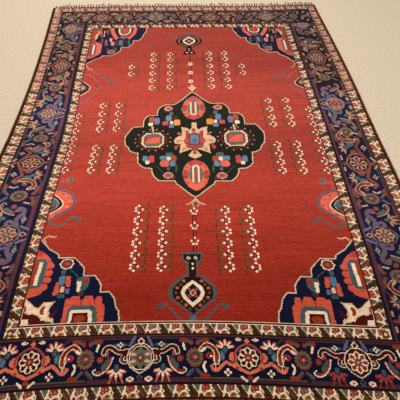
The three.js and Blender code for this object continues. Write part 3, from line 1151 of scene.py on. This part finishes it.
for line, high, places in END_RUNS:
    for layer, kind, place, wide in border_pieces(END_KINDS, places):
        motif = UNITS[kind][0]
        if layer == "stripes":
            motif = [end_edge_line, *edge_lines, *stripes[kind]]
        tie(motif, place, line, 0, wide, high, -4)
for line, turn, kinds, places in SIDE_RUNS:
    for layer, kind, place, wide in border_pieces(kinds, places):
        motif = UNITS[kind][1]
        if layer == "stripes":
            motif = [*edge_lines, *stripes[kind]]
        tie(motif, line, place - climb(line, place), turn, wide, SIDE_HEIGHT, 4)

# %% [markdown]
# Each end border closes with a sprig, and a few changes of wool come last. The side borders and the
# far end were tied in duller wools, and far up the rug the navy, the ivory and the leaves change.

# %% Corner sprigs and changes of wool
corner_sprig = [
    *lined([(-34, -40), (-18, -6), (14, 6), (30, 34)], "rust", 12),
    ("maroon", strand(4, (-26, -22), (-14, 0), (12, 8))),
    ("slate", bar(10, (16, -34), (30, -10))),
    ("periwinkle", bar(8, (-36, 14), (-14, 36))),
    ("purple brown", bar(8, (38, -60), (38, 60))),
    *crossed_dots("ivory", "rust", -6, 54, 8, 8),
    *crossed_dots("ivory", "rust", 4, -58, 8, 8),
]
for side in (-1, 1):
    tie(corner_sprig, side * 862, 1222, 0, side, 1.0, -4)
    tie(corner_sprig, side * 850, -1200, 0, side, -1.0, -4)

FAR_QUARTER = 350  # where the new batches of wool begin
DULLED = {
    "ivory": "beige", "coral": "brick", "salmon": "brick", "rust": "brick", "rose": "mauve rose",
    "pink": "dusty pink", "crimson": "brick", "sky": "slate", "gold": "ochre",
}


def swap(where, pairs):
    """Changes some wools for others in a part of the chart."""
    before = chart.copy()
    for wool, other in pairs.items():
        chart[where & (before == WOOL_NAMES.index(wool))] = WOOL_NAMES.index(other)


swap((zones == 4) | ((zones == -4) & (along_field > 0)), DULLED)
swap((np.abs(zones) == 4) & (along_field > FAR_QUARTER), {"navy": "dusk", "periwinkle": "slate violet"})
swap((np.abs(zones) == 6) & (along_field > FAR_QUARTER), {"ivory": "worn ivory", "umber": "mauve rose"})
print("main border tied")

# %% [markdown]
# ## The woven cloth
# One face for every knot would be over half a million, so a face holds four by four knots. Its
# four rows of wool numbers are packed into four numbers, one a row, which the material unpacks
# again. The pattern is then part of the mesh, crisp at any distance, with no image.

# %% Pack the chart into the faces
BLOCK = 4  # knots on each side of a face
BASE = 32  # room for this many wools in one digit
FACES_ACROSS = CHART_COLUMNS // BLOCK
FACES_ALONG = CHART_ROWS // BLOCK
blocks = chart.reshape(FACES_ALONG, BLOCK, FACES_ACROSS, BLOCK)
digits = BASE ** np.arange(BLOCK)
packed = (blocks * digits).sum(3).astype(np.float32)  # row of faces, knot row in it, column of faces
print("faces:", FACES_ACROSS, "by", FACES_ALONG)

# %% [markdown]
# The cloth is a grid made solid. Its top is not flat: folds from years of storage cross it, and it
# ripples a little on the floor. The rim of the pile is worn lower.

# %% The cloth's shape
CREASES = [  # place along, height, width, as on the CAD slab
    (-850, 0.9, 60), (-470, 1.2, 55), (-30, -1.6, 45), (25, 1.0, 50), (330, 0.8, 80),
]
RIPPLES = [  # height, turns per metre across and along, phase
    (0.5, 0.35, 3.1, 0.4), (0.35, 1.1, 5.3, 2.0), (0.3, -0.8, 7.9, 4.1), (0.2, 1.9, 12.4, 1.2),
]
RIM_DROP = 1.6


def top_height(s, t):
    height = np.full(s.shape, TOP)
    for place, high, wide in CREASES:
        height += high * np.exp(-(((t - place) / wide) ** 2))
    for high, across, along, phase in RIPPLES:
        height += high * np.sin(2 * math.pi * (across * s + along * t) * MM + phase)
    rim = np.minimum.reduce([s - LEFT, RIGHT - s, t - NEAR, FAR - t]) < 1
    return height - RIM_DROP * rim


grid = bmesh.new()
bmesh.ops.create_grid(grid, x_segments=FACES_ACROSS, y_segments=FACES_ALONG, size=0.5)
bmesh.ops.solidify(grid, geom=grid.faces[:], thickness=0.01)
carpet_mesh = bpy.data.meshes.new("carpet")
grid.to_mesh(carpet_mesh)
grid.free()
unit = np.empty(len(carpet_mesh.vertices) * 3, np.float32)
carpet_mesh.vertices.foreach_get("co", unit)
unit = unit.reshape(-1, 3)
vertex_s = LEFT + (unit[:, 0] + 0.5) * (RIGHT - LEFT)
vertex_t = NEAR + (unit[:, 1] + 0.5) * (FAR - NEAR)
on_top = unit[:, 2] > unit[:, 2].mean()
x, y = lay(vertex_s, vertex_t)
z = np.where(on_top, top_height(vertex_s, vertex_t), 0.0)
carpet_mesh.vertices.foreach_set("co", (np.c_[x, y, z] * MM).ravel())
print("vertices:", len(carpet_mesh.vertices), "faces:", len(carpet_mesh.polygons))

# %% Wool numbers on the faces, and knots counted along the cloth
loop_vertex = np.empty(len(carpet_mesh.loops), int)
carpet_mesh.loops.foreach_get("vertex_index", loop_vertex)
corners = loop_vertex.reshape(-1, 4)  # every face has four
middle = unit[corners].mean(1)
face_column = np.clip(((middle[:, 0] + 0.5) * FACES_ACROSS).astype(int), 0, FACES_ACROSS - 1)
face_row = np.clip(((middle[:, 1] + 0.5) * FACES_ALONG).astype(int), 0, FACES_ALONG - 1)
for k in range(BLOCK):
    row = carpet_mesh.attributes.new(f"row_{k}", "FLOAT", "FACE")
    row.data.foreach_set("value", packed[face_row, k, face_column])
is_back = (~on_top[corners]).all(1)
back = carpet_mesh.attributes.new("back", "FLOAT", "FACE")
back.data.foreach_set("value", is_back.astype(np.float32))

INSET = 0.004  # in knots: keeps a face's corners inside its own block
block_middle = np.c_[face_column + 0.5, face_row + 0.5] * BLOCK
knot_place = (unit[corners, :2] + 0.5) * (CHART_COLUMNS, CHART_ROWS)
from_middle = knot_place - block_middle[:, None]
side_face = np.ptp(on_top[corners].astype(int), axis=1) == 1
lower = side_face[:, None] & ~on_top[corners]
from_middle[lower] *= 0.5  # the foot of the rim is one knot further in
from_middle = np.clip(from_middle, INSET - BLOCK / 2, BLOCK / 2 - INSET)
knot_place = block_middle[:, None] + from_middle
knots_map = carpet_mesh.uv_layers.new(name="knots")
knots_map.uv.foreach_set("vector", knot_place.reshape(-1).astype(np.float32))
BACK_SHARE = 0.38  # the underside gets a smaller place in the export's picture, at its right
BACK_PLACE = 0.725
picture = knot_place / CHART_ROWS * np.where(is_back, BACK_SHARE, 1.0)[:, None, None]
picture[is_back, :, 0] += BACK_PLACE
bake_map = carpet_mesh.uv_layers.new(name="OFBake")
bake_map.uv.foreach_set("vector", picture.reshape(-1).astype(np.float32))
carpet_mesh.update()
print("rim faces:", int(side_face.sum()), "back faces:", int(is_back.sum()))

# %% [markdown]
# ## Wool
# One helper adds a node with its settings and links. The pile's material finds the knot, unpacks
# its wool, and then varies it as hand-spun wool varies: from knot to knot, from row to row, and in
# long streaks across the loom. Over this it paints shade and light in broad bands along the rug,
# for how the pile catches the light: painted shade darkest at the near end and on the right side,
# and a painted sheen that pales the far part.

# %% One helper for nodes
def add(tree, kind, inputs=None, **settings):
    made = tree.nodes.new("ShaderNode" + kind)
    for name, value in settings.items():
        setattr(made, name, value)
    for name, value in (inputs or {}).items():
        if isinstance(value, bpy.types.NodeSocket):
            tree.links.new(value, made.inputs[name])
        else:
            made.inputs[name].default_value = value
    return made


def linear(colour):
    """An sRGB hex colour as the linear numbers that Blender wants."""
    parts = [int(colour[k:k + 2], 16) / 255 for k in (0, 2, 4)]
    return [*[p / 12.92 if p <= 0.04045 else ((p + 0.055) / 1.055) ** 2.4 for p in parts], 1.0]


def colour_steps(tree, value, steps, between="CONSTANT"):
    """A ramp with a colour from each start onwards, or blended between the starts."""
    ramp = add(tree, "ValToRGB", {0: value})
    ramp.color_ramp.interpolation = between
    stops = ramp.color_ramp.elements
    for k, (start, colour) in enumerate(steps):
        stop = stops[k] if k < 2 else stops.new(start)
        stop.position = start
        stop.color = colour
    return ramp


def empty_material(name):
    material = bpy.data.materials.new(name)
    material.use_nodes = True
    material.node_tree.nodes.clear()
    return material, material.node_tree


def finish_wool(tree, colour, height, distance, sheen):
    """The last nodes of every wool here: no gloss, a soft sheen, and a fine relief."""
    bump = add(tree, "Bump", {"Height": height, "Strength": 0.6, "Distance": distance * MM})
    surface = add(tree, "BsdfPrincipled", {
        "Base Color": colour, "Roughness": 0.9, "Specular IOR Level": 0.05, "Sheen Weight": sheen,
        "Sheen Roughness": 0.45, "Sheen Tint": linear("F2C9A8"), "Normal": bump.outputs[0],
    })
    add(tree, "OutputMaterial", {"Surface": surface.outputs[0]})


# %% The pile's material
pile_wool, tree = empty_material("knotted wool pile")


def maths(operation, *values):
    return add(tree, "Math", dict(enumerate(values)), operation=operation).outputs[0]


def spread(value, low, high):
    """A value from 0 to 1, moved to run from low to high."""
    return maths("MULTIPLY_ADD", value, high - low, low)


place = add(tree, "SeparateXYZ", {0: add(tree, "UVMap", uv_map="knots").outputs[0]})
column = maths("FLOOR", place.outputs[0])
row = maths("FLOOR", place.outputs[1])
row_in_face = maths("MODULO", row, float(BLOCK))
held = add(tree, "Attribute", attribute_name="row_0").outputs["Fac"]
for k in range(1, BLOCK):
    next_row = add(tree, "Attribute", attribute_name=f"row_{k}").outputs["Fac"]
    chosen = maths("GREATER_THAN", row_in_face, k - 0.5)
    held = add(tree, "Mix", {0: chosen, 2: held, 3: next_row}, data_type="FLOAT").outputs[0]
digit = maths("POWER", float(BASE), maths("MODULO", column, float(BLOCK)))
shifted = maths("FLOOR", maths("DIVIDE", maths("ADD", held, 0.5), digit))
number = maths("MODULO", shifted, float(BASE))
wool_steps = [(k / BASE, linear(colour)) for k, colour in enumerate(WOOLS.values())]
wool = colour_steps(tree, maths("DIVIDE", maths("ADD", number, 0.5), float(BASE)), wool_steps)
print("wools in the material:", len(wool.color_ramp.elements))

# %% Painted shade and light along the rug
# Painted shade and light: the pile is painted darkest at the near end and brighter further up, in broad
# bands, for how it catches the light.
PAINTED_SHADE = [  # place along the rug, brightness of the wool there
    (-1300, 0.5), (-900, 0.65), (-600, 1.0), (-350, 1.2), (-100, 0.95),
    (100, 1.2), (400, 1.2), (650, 0.9), (1300, 0.85),
]
RIGHT_PAINTED_SHADE = 0.78  # brightness at the right side for 1 at the left
RAMP_FULL = 1.5  # what the ramp's white stands for
painted_shade_steps = []
for t, brightness in PAINTED_SHADE:
    grey = brightness / RAMP_FULL
    painted_shade_steps.append(((t - NEAR) / (FAR - NEAR), (grey, grey, grey, 1.0)))
bands = colour_steps(tree, maths("DIVIDE", row, float(CHART_ROWS)), painted_shade_steps, "LINEAR")


def ranged(value, from_low, from_high, low, high):
    """A value between two limits, moved to run from low to high."""
    limits = {"Value": value, "From Min": from_low, "From Max": from_high, "To Min": low, "To Max": high}
    return add(tree, "MapRange", limits).outputs[0]


# Painted shade: the right side of the pile is painted darker than the left.
painted_shade_rightwards = ranged(column, 0.2 * CHART_COLUMNS, 0.8 * CHART_COLUMNS, 1.0, RIGHT_PAINTED_SHADE)
painted_shade = maths("MULTIPLY", maths("MULTIPLY", bands.outputs[0], RAMP_FULL), painted_shade_rightwards)
# Painted sheen: the wool's colour is painted paler towards the far end, where the pile catches the light.
painted_sheen_paling = ranged(row, 0.0, 0.5 * CHART_ROWS, 1.02, 0.93)
print("bands of abrash:", len(painted_shade_steps))

# %% Hand-spun unevenness, and the painted shade and light laid over it
lightness = add(tree, "RGBToBW", {0: wool.outputs[0]}).outputs[0]
# Pale wool is spared most of the painted shade and light.
undyed = ranged(lightness, 0.05, 0.45, 0.0, 0.7)  # pale wool has little dye to vary
# The painted shade and light, as a brightness factor for each wool.
painted_shade_and_light = add(tree, "Mix", {0: undyed, 2: painted_shade, 3: 1.0}, data_type="FLOAT").outputs[0]
knot = add(tree, "CombineXYZ", {0: column, 1: row}).outputs[0]
per_knot = add(tree, "TexWhiteNoise", {"Vector": knot}, noise_dimensions="2D").outputs["Value"]
per_row = add(tree, "TexWhiteNoise", {"W": row}, noise_dimensions="1D").outputs["Value"]


def knot_noise(across, along, detail):
    """Noise counted in knots: the smaller a number, the longer its patches run that way."""
    at = add(tree, "CombineXYZ", {0: maths("MULTIPLY", column, across), 1: maths("MULTIPLY", row, along)})
    return add(tree, "TexNoise", {"Vector": at.outputs[0], "Scale": 1.0, "Detail": detail}).outputs[0]


fleck = knot_noise(0.11, 0.45, 2.0)
streak = knot_noise(0.012, 0.5, 3.0)
patchy = knot_noise(0.01, 0.03, 2.0)
VARIATION = [  # what the wool's brightness varies with, from least to most
    (per_row, 0.96, 1.04), (streak, 0.72, 1.28), (fleck, 0.6, 1.4), (patchy, 0.8, 1.2),
]
brightness = spread(per_knot, 0.86, 1.14)
for source, least, most in VARIATION:
    brightness = maths("MULTIPLY", brightness, spread(source, least, most))
brightness = maths("MULTIPLY", brightness, painted_shade_and_light)
saturation = maths("MULTIPLY", painted_sheen_paling, spread(streak, 1.04, 0.96))
# The wool's colour with its random unevenness, its painted shade and light, and its painted sheen.
worn = add(tree, "HueSaturation", {
    "Hue": spread(per_knot, 0.497, 0.503), "Saturation": saturation, "Value": brightness,
    "Color": wool.outputs[0],
})

# %% Round knots, and the weft on the underside
WEFT_COLOUR = "7A4A38"
round_x, round_y = [
    maths("SINE", maths("MULTIPLY", maths("FRACT", place.outputs[way]), math.pi)) for way in (0, 1)
]
is_back_face = add(tree, "Attribute", attribute_name="back").outputs["Fac"]
weft_shows = maths("MULTIPLY", is_back_face, maths("LESS_THAN", round_y, 0.45))
weft_mixed = add(tree, "Mix", {0: weft_shows, 6: worn.outputs[0], 7: linear(WEFT_COLOUR)}, data_type="RGBA")
height = maths("ADD", maths("MULTIPLY", round_x, round_y), maths("MULTIPLY", per_knot, 0.8))
finish_wool(tree, weft_mixed.outputs[2], height, 0.7, 0.08)

carpet = bpy.data.objects.new("carpet", carpet_mesh)
scene.collection.objects.link(carpet)
carpet_mesh.materials.append(pile_wool)
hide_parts("pile")
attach(carpet, "root")
print("the pile's material has", len(tree.nodes), "nodes")

# %% [markdown]
# ## The overcast sides
# Each long side is bound over a core with wool yarn, turn beside turn. The turns are modelled: the
# cord's radius swells and sinks along a slanting wave. The binder changed yarns as they went, which
# shows as longer and shorter lengths of brown, red and olive.

# %% The side cords
GAP = 0.3  # between neighbouring pieces
CORD_WIDTH = 9.0
CORD_HEIGHT = 8.4
TURN_PITCH = 4.6
CORD_SIDES = 10
TURN_DEPTH = 0.1  # how far the cord sinks between two turns, as a share of its radius
CORD_FULLNESS = 1.1
CORD_FOOT = -0.97  # the cord is pressed flat below this share of its radius
RINGS = 1760


def ring_tube(name, rings):
    """A closed tube through rings of points, in metres, each ring with the same count."""
    made = bmesh.new()
    loops = [[made.verts.new(point) for point in ring] for ring in rings]
    for one, other in zip(loops, loops[1:]):
        for k in range(len(one)):
            made.faces.new((one[k - 1], one[k], other[k], other[k - 1]))
    made.faces.new(loops[0])
    made.faces.new(reversed(loops[-1]))
    bmesh.ops.recalc_face_normals(made, faces=made.faces[:])
    mesh = bpy.data.meshes.new(name)
    made.to_mesh(mesh)
    made.free()
    return mesh


def cord_rings(side):
    t = np.linspace(NEAR, FAR, RINGS)
    edge, y = lay(RIGHT if side > 0 else LEFT, t)
    middle = edge + side * (GAP + CORD_WIDTH / 2)
    angle = np.arange(CORD_SIDES) / CORD_SIDES * 2 * math.pi
    wave = 2 * math.pi * (y[:, None] / TURN_PITCH) + side * angle
    swell = 1 - TURN_DEPTH + TURN_DEPTH * np.cos(wave)
    across = np.cos(angle) * swell * CORD_WIDTH / 2
    up = (np.maximum(np.sin(angle) * swell * CORD_FULLNESS, CORD_FOOT) + 1) * CORD_HEIGHT / 2
    for place, high, wide in CREASES:
        up += (high * np.exp(-(((t - place) / wide) ** 2)))[:, None] * np.clip(up / TOP, 0, 1)
    ys = np.repeat(y[:, None], CORD_SIDES, 1)
    return np.stack([middle[:, None] + across, ys, np.maximum(up, 0)], 2) * MM


def cord_wool(name, lengths):
    """Overcast yarn, with its changes of colour along the cord."""
    material, tree = empty_material(name)
    at = add(tree, "TexCoord").outputs["Object"]
    along = add(tree, "Mapping", {"Vector": at, "Scale": (2.0, 9.0, 2.0)}).outputs[0]
    changes = add(tree, "TexNoise", {"Vector": along, "Scale": 1.6, "Detail": 2.0, "Roughness": 0.7})
    ramp = colour_steps(tree, changes.outputs[0], [(start, linear(colour)) for start, colour in lengths])
    fibres = add(tree, "TexNoise", {"Vector": at, "Scale": 900.0, "Detail": 2.0})
    bright = add(tree, "MapRange", {0: fibres.outputs[0], 3: 0.7, 4: 1.3}).outputs[0]
    mixed = add(tree, "HueSaturation", {"Value": bright, "Color": ramp.outputs[0]})
    finish_wool(tree, mixed.outputs[0], fibres.outputs[0], 0.4, 0.2)
    return material


CORD_COLOURS = {  # where in the noise each yarn starts, and its colour
    "left": [(0.0, "3A1A12"), (0.42, "5E2A1C"), (0.5, "4A3A22"), (0.56, "6E2A20"), (0.64, "2E1810")],
    "right": [(0.0, "7A2A1E"), (0.4, "5A4626"), (0.47, "8E3A28"), (0.53, "3E2418"), (0.6, "6A5A34")],
}
for word, side in (("left", -1), ("right", 1)):
    mesh = ring_tube(f"overcast_{word}", cord_rings(side))
    cord = bpy.data.objects.new(f"overcast_{word}", mesh)
    scene.collection.objects.link(cord)
    mesh.materials.append(cord_wool(f"overcast wool {word}", CORD_COLOURS[word]))
    mesh.shade_smooth()
    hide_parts(f"side_cord_{word}")
    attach(cord, "root")
print("turns on each side:", round((FAR - NEAR) / TURN_PITCH))

# %% [markdown]
# ## The ends and the fringe
# At each end the pile stops at a narrow plain-woven web. The warps come out of it in small locks,
# worn to different lengths. Each lock is a few strands of undyed brown and beige wool, twisted
# round its own middle line. Some lie on the floor, and some arch up from it by a centimetre.

# %% The ends
WEB_WIDTH = 12.0
WEB_THICKNESS = 3.0
WEB_WORN = 0.7  # the share of its thickness left at its outer edge
WEB_STEPS = 160
LOCKS = 96
LOCK_SHORTEST = 14.0
LOCK_LONGEST = 46.0
LOCK_ROOT = 6.0
STRANDS = 6
STRAND_STEPS = 9
STRAND_SIDES = 5
STRAND_LIFT = 10.0  # how high the wildest strands arch off the floor
STRAND_RADII = (1.1, 1.7)
STRAND_SHARES = (0.75, 1.25)  # of the lock's length
STRAND_EXTRA = 4.0
STRAND_TWIST = 5.0  # how far a strand turns round its lock, in radians
LOCK_RADIUS = 6.0
# The next six are the CAD's own, so that the strands lie where its locks do.
LOCK_LENGTH_BIAS = 1.6
LOCK_SPACING_PLAY = 0.25
LEAN_SWAY = 0.16
LEAN_RHYTHM = 0.37
LEAN_PLAY = 0.08
LOCK_BEND = 3.0


def scatter(k, use):
    """The same repeatable number from 0 to 1 as the CAD's locks use."""
    value = math.sin(k * 12.9898 + use * 78.233) * 43758.5453
    return value - math.floor(value)


def web_rings(end):
    s = np.linspace(LEFT, RIGHT, WEB_STEPS + 1)
    x, y = lay(s, FAR if end > 0 else NEAR)
    section = [(GAP, 0), (WEB_WIDTH, 0), (WEB_WIDTH, WEB_THICKNESS * WEB_WORN), (GAP, WEB_THICKNESS)]
    return np.stack([np.c_[x, y + end * out, np.full(len(x), up)] for out, up in section], 1) * MM


def lock_strands(end, k):
    """The rings of one lock's strands."""
    share = (k + 0.5 + LOCK_SPACING_PLAY * (scatter(k, 1) - 0.5)) / LOCKS
    root_x, root_y = lay(LEFT + share * (RIGHT - LEFT), FAR if end > 0 else NEAR)
    length = LOCK_SHORTEST + (LOCK_LONGEST - LOCK_SHORTEST) * scatter(k, 2) ** LOCK_LENGTH_BIAS
    lean = LEAN_SWAY * math.sin(k * LEAN_RHYTHM + end) + LEAN_PLAY * (scatter(k, 3) - 0.5)
    bend = LOCK_BEND * (scatter(k, 4) - 0.5)
    for n in range(STRANDS):
        own = length * random.uniform(*STRAND_SHARES) + STRAND_EXTRA
        thick = random.uniform(*STRAND_RADII)
        lift = random.uniform(0, STRAND_LIFT)
        start = random.uniform(0, 2 * math.pi)
        rings = []
        for step in range(STRAND_STEPS):
            share = step / (STRAND_STEPS - 1)
            out = share * (LOCK_ROOT + own)
            loose = 0.35 + 0.65 * share**2
            turn = start + STRAND_TWIST * share + n * 2 * math.pi / STRANDS
            x = root_x + out * lean + bend * math.sin(math.pi * share) + LOCK_RADIUS * loose * math.cos(turn)
            y = root_y + end * (GAP + WEB_WIDTH - LOCK_ROOT + out)
            radius = thick * (1 - 0.6 * share)
            arch = lift * math.sin(math.pi * share**0.7)
            z = radius + 0.2 + 0.7 * (1 + math.sin(turn)) * (1 - 0.5 * share) + arch
            ring = []
            for side in range(STRAND_SIDES):
                angle = side / STRAND_SIDES * 2 * math.pi
                point = Vector((x + radius * math.cos(angle), y, z + radius * math.sin(angle)))
                ring.append(point * MM)
            rings.append(ring)
        yield rings


def joined(name, meshes):
    """One mesh from several."""
    made = bmesh.new()
    for mesh in meshes:
        made.from_mesh(mesh)
        bpy.data.meshes.remove(mesh)
    whole = bpy.data.meshes.new(name)
    made.to_mesh(whole)
    made.free()
    return whole


# %% Warp wool
warp_wool, tree = empty_material("undyed warp wool")
at = add(tree, "TexCoord").outputs["Object"]
lock_tint = add(tree, "TexNoise", {"Vector": at, "Scale": 45.0, "Detail": 1.0})
WARP_TINTS = [(0.3, "2A1C12"), (0.46, "5E452E"), (0.56, "8A6C48"), (0.64, "3E2C1C")]
warp_steps = [(start, linear(colour)) for start, colour in WARP_TINTS]
ramp = colour_steps(tree, lock_tint.outputs[0], warp_steps, "LINEAR")
fibres = add(tree, "TexNoise", {"Vector": at, "Scale": 1200.0, "Detail": 2.0})
bright = add(tree, "MapRange", {0: fibres.outputs[0], 3: 0.75, 4: 1.25}).outputs[0]
mixed = add(tree, "HueSaturation", {"Value": bright, "Color": ramp.outputs[0]})
finish_wool(tree, mixed.outputs[0], fibres.outputs[0], 0.4, 0.2)

for word, end in (("near", -1), ("far", 1)):
    strands = [ring_tube("strand", rings) for k in range(LOCKS) for rings in lock_strands(end, k)]
    mesh = joined(f"fringe_{word}_end", [ring_tube("web", web_rings(end)), *strands])
    fringe = bpy.data.objects.new(mesh.name, mesh)
    scene.collection.objects.link(fringe)
    mesh.materials.append(warp_wool)
    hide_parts(f"fringe_{word}")
    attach(fringe, "root")
print("strands at each end:", LOCKS * STRANDS)

# %% [markdown]
# ## The room
# A plain pale floor and soft light. The window is beyond the far end, so the far part of the carpet
# is a little brighter.

# %% Floor and light
floor_grid = bmesh.new()
bmesh.ops.create_grid(floor_grid, x_segments=1, y_segments=1, size=12)
floor_mesh = bpy.data.meshes.new("floor")
floor_grid.to_mesh(floor_mesh)
floor_grid.free()
floor = bpy.data.objects.new("floor", floor_mesh)
scene.collection.objects.link(floor)
floor_material, tree = empty_material("pale floor covering")
at = add(tree, "TexCoord").outputs["Object"]
grain = add(tree, "TexNoise", {"Vector": at, "Scale": 110.0, "Detail": 3.0})
bright = add(tree, "MapRange", {0: grain.outputs[0], 3: 0.6, 4: 1.4}).outputs[0]
pale = add(tree, "HueSaturation", {"Value": bright, "Color": linear("C9BCA9")})
surface = add(tree, "BsdfPrincipled", {"Base Color": pale.outputs[0], "Roughness": 0.95})
add(tree, "OutputMaterial", {"Surface": surface.outputs[0]})
floor_mesh.materials.append(floor_material)
floor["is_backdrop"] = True


def soft_light(name, place, aim, size, power, colour):
    lamp = bpy.data.lights.new(name, "AREA")
    lamp.shape = "DISK"
    lamp.size = size
    lamp.energy = power
    lamp.color = linear(colour)[:3]
    holder = bpy.data.objects.new(name, lamp)
    scene.collection.objects.link(holder)
    holder.location = place
    holder.rotation_mode = "QUATERNION"
    holder.rotation_quaternion = (Vector(aim) - Vector(place)).to_track_quat("-Z", "Y")


soft_light("window light", (-0.6, 2.6, 2.6), (0, 0.4, 0), 2.5, 60, "FFF4E4")
soft_light("ceiling light", (0.3, -0.6, 3.4), (0, 0, 0), 3.0, 70, "FFF6EA")
world = bpy.data.worlds.new("room")
scene.world = world
world.use_nodes = True
world.node_tree.nodes["Background"].inputs["Color"].default_value = linear("FFF8F0")
world.node_tree.nodes["Background"].inputs["Strength"].default_value = 0.55
scene.view_settings.view_transform = "Standard"

# %% [markdown]
# ## Cloth, and the closing sizes
# The carpet lies on the floor. Its width is taken from the CAD pile, and its area is the outline's own.

wide = (pile_high - pile_low).x
RIM_STEPS = 200  # on each of the four sides
rim_s = np.concatenate([np.linspace(a, b, RIM_STEPS) for a, b in
                        ((LEFT, RIGHT), (RIGHT, RIGHT), (RIGHT, LEFT), (LEFT, LEFT))])
rim_t = np.concatenate([np.linspace(a, b, RIM_STEPS) for a, b in
                        ((NEAR, NEAR), (NEAR, FAR), (FAR, FAR), (FAR, NEAR))])
rim_x, rim_y = lay(rim_s, rim_t)
area = 0.5 * abs(np.sum(rim_x * np.roll(rim_y, -1) - np.roll(rim_x, -1) * rim_y)) * MM * MM

visual_box = [list(corner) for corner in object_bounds()]
print("visual box:", [[round(v, 3) for v in corner] for corner in visual_box])
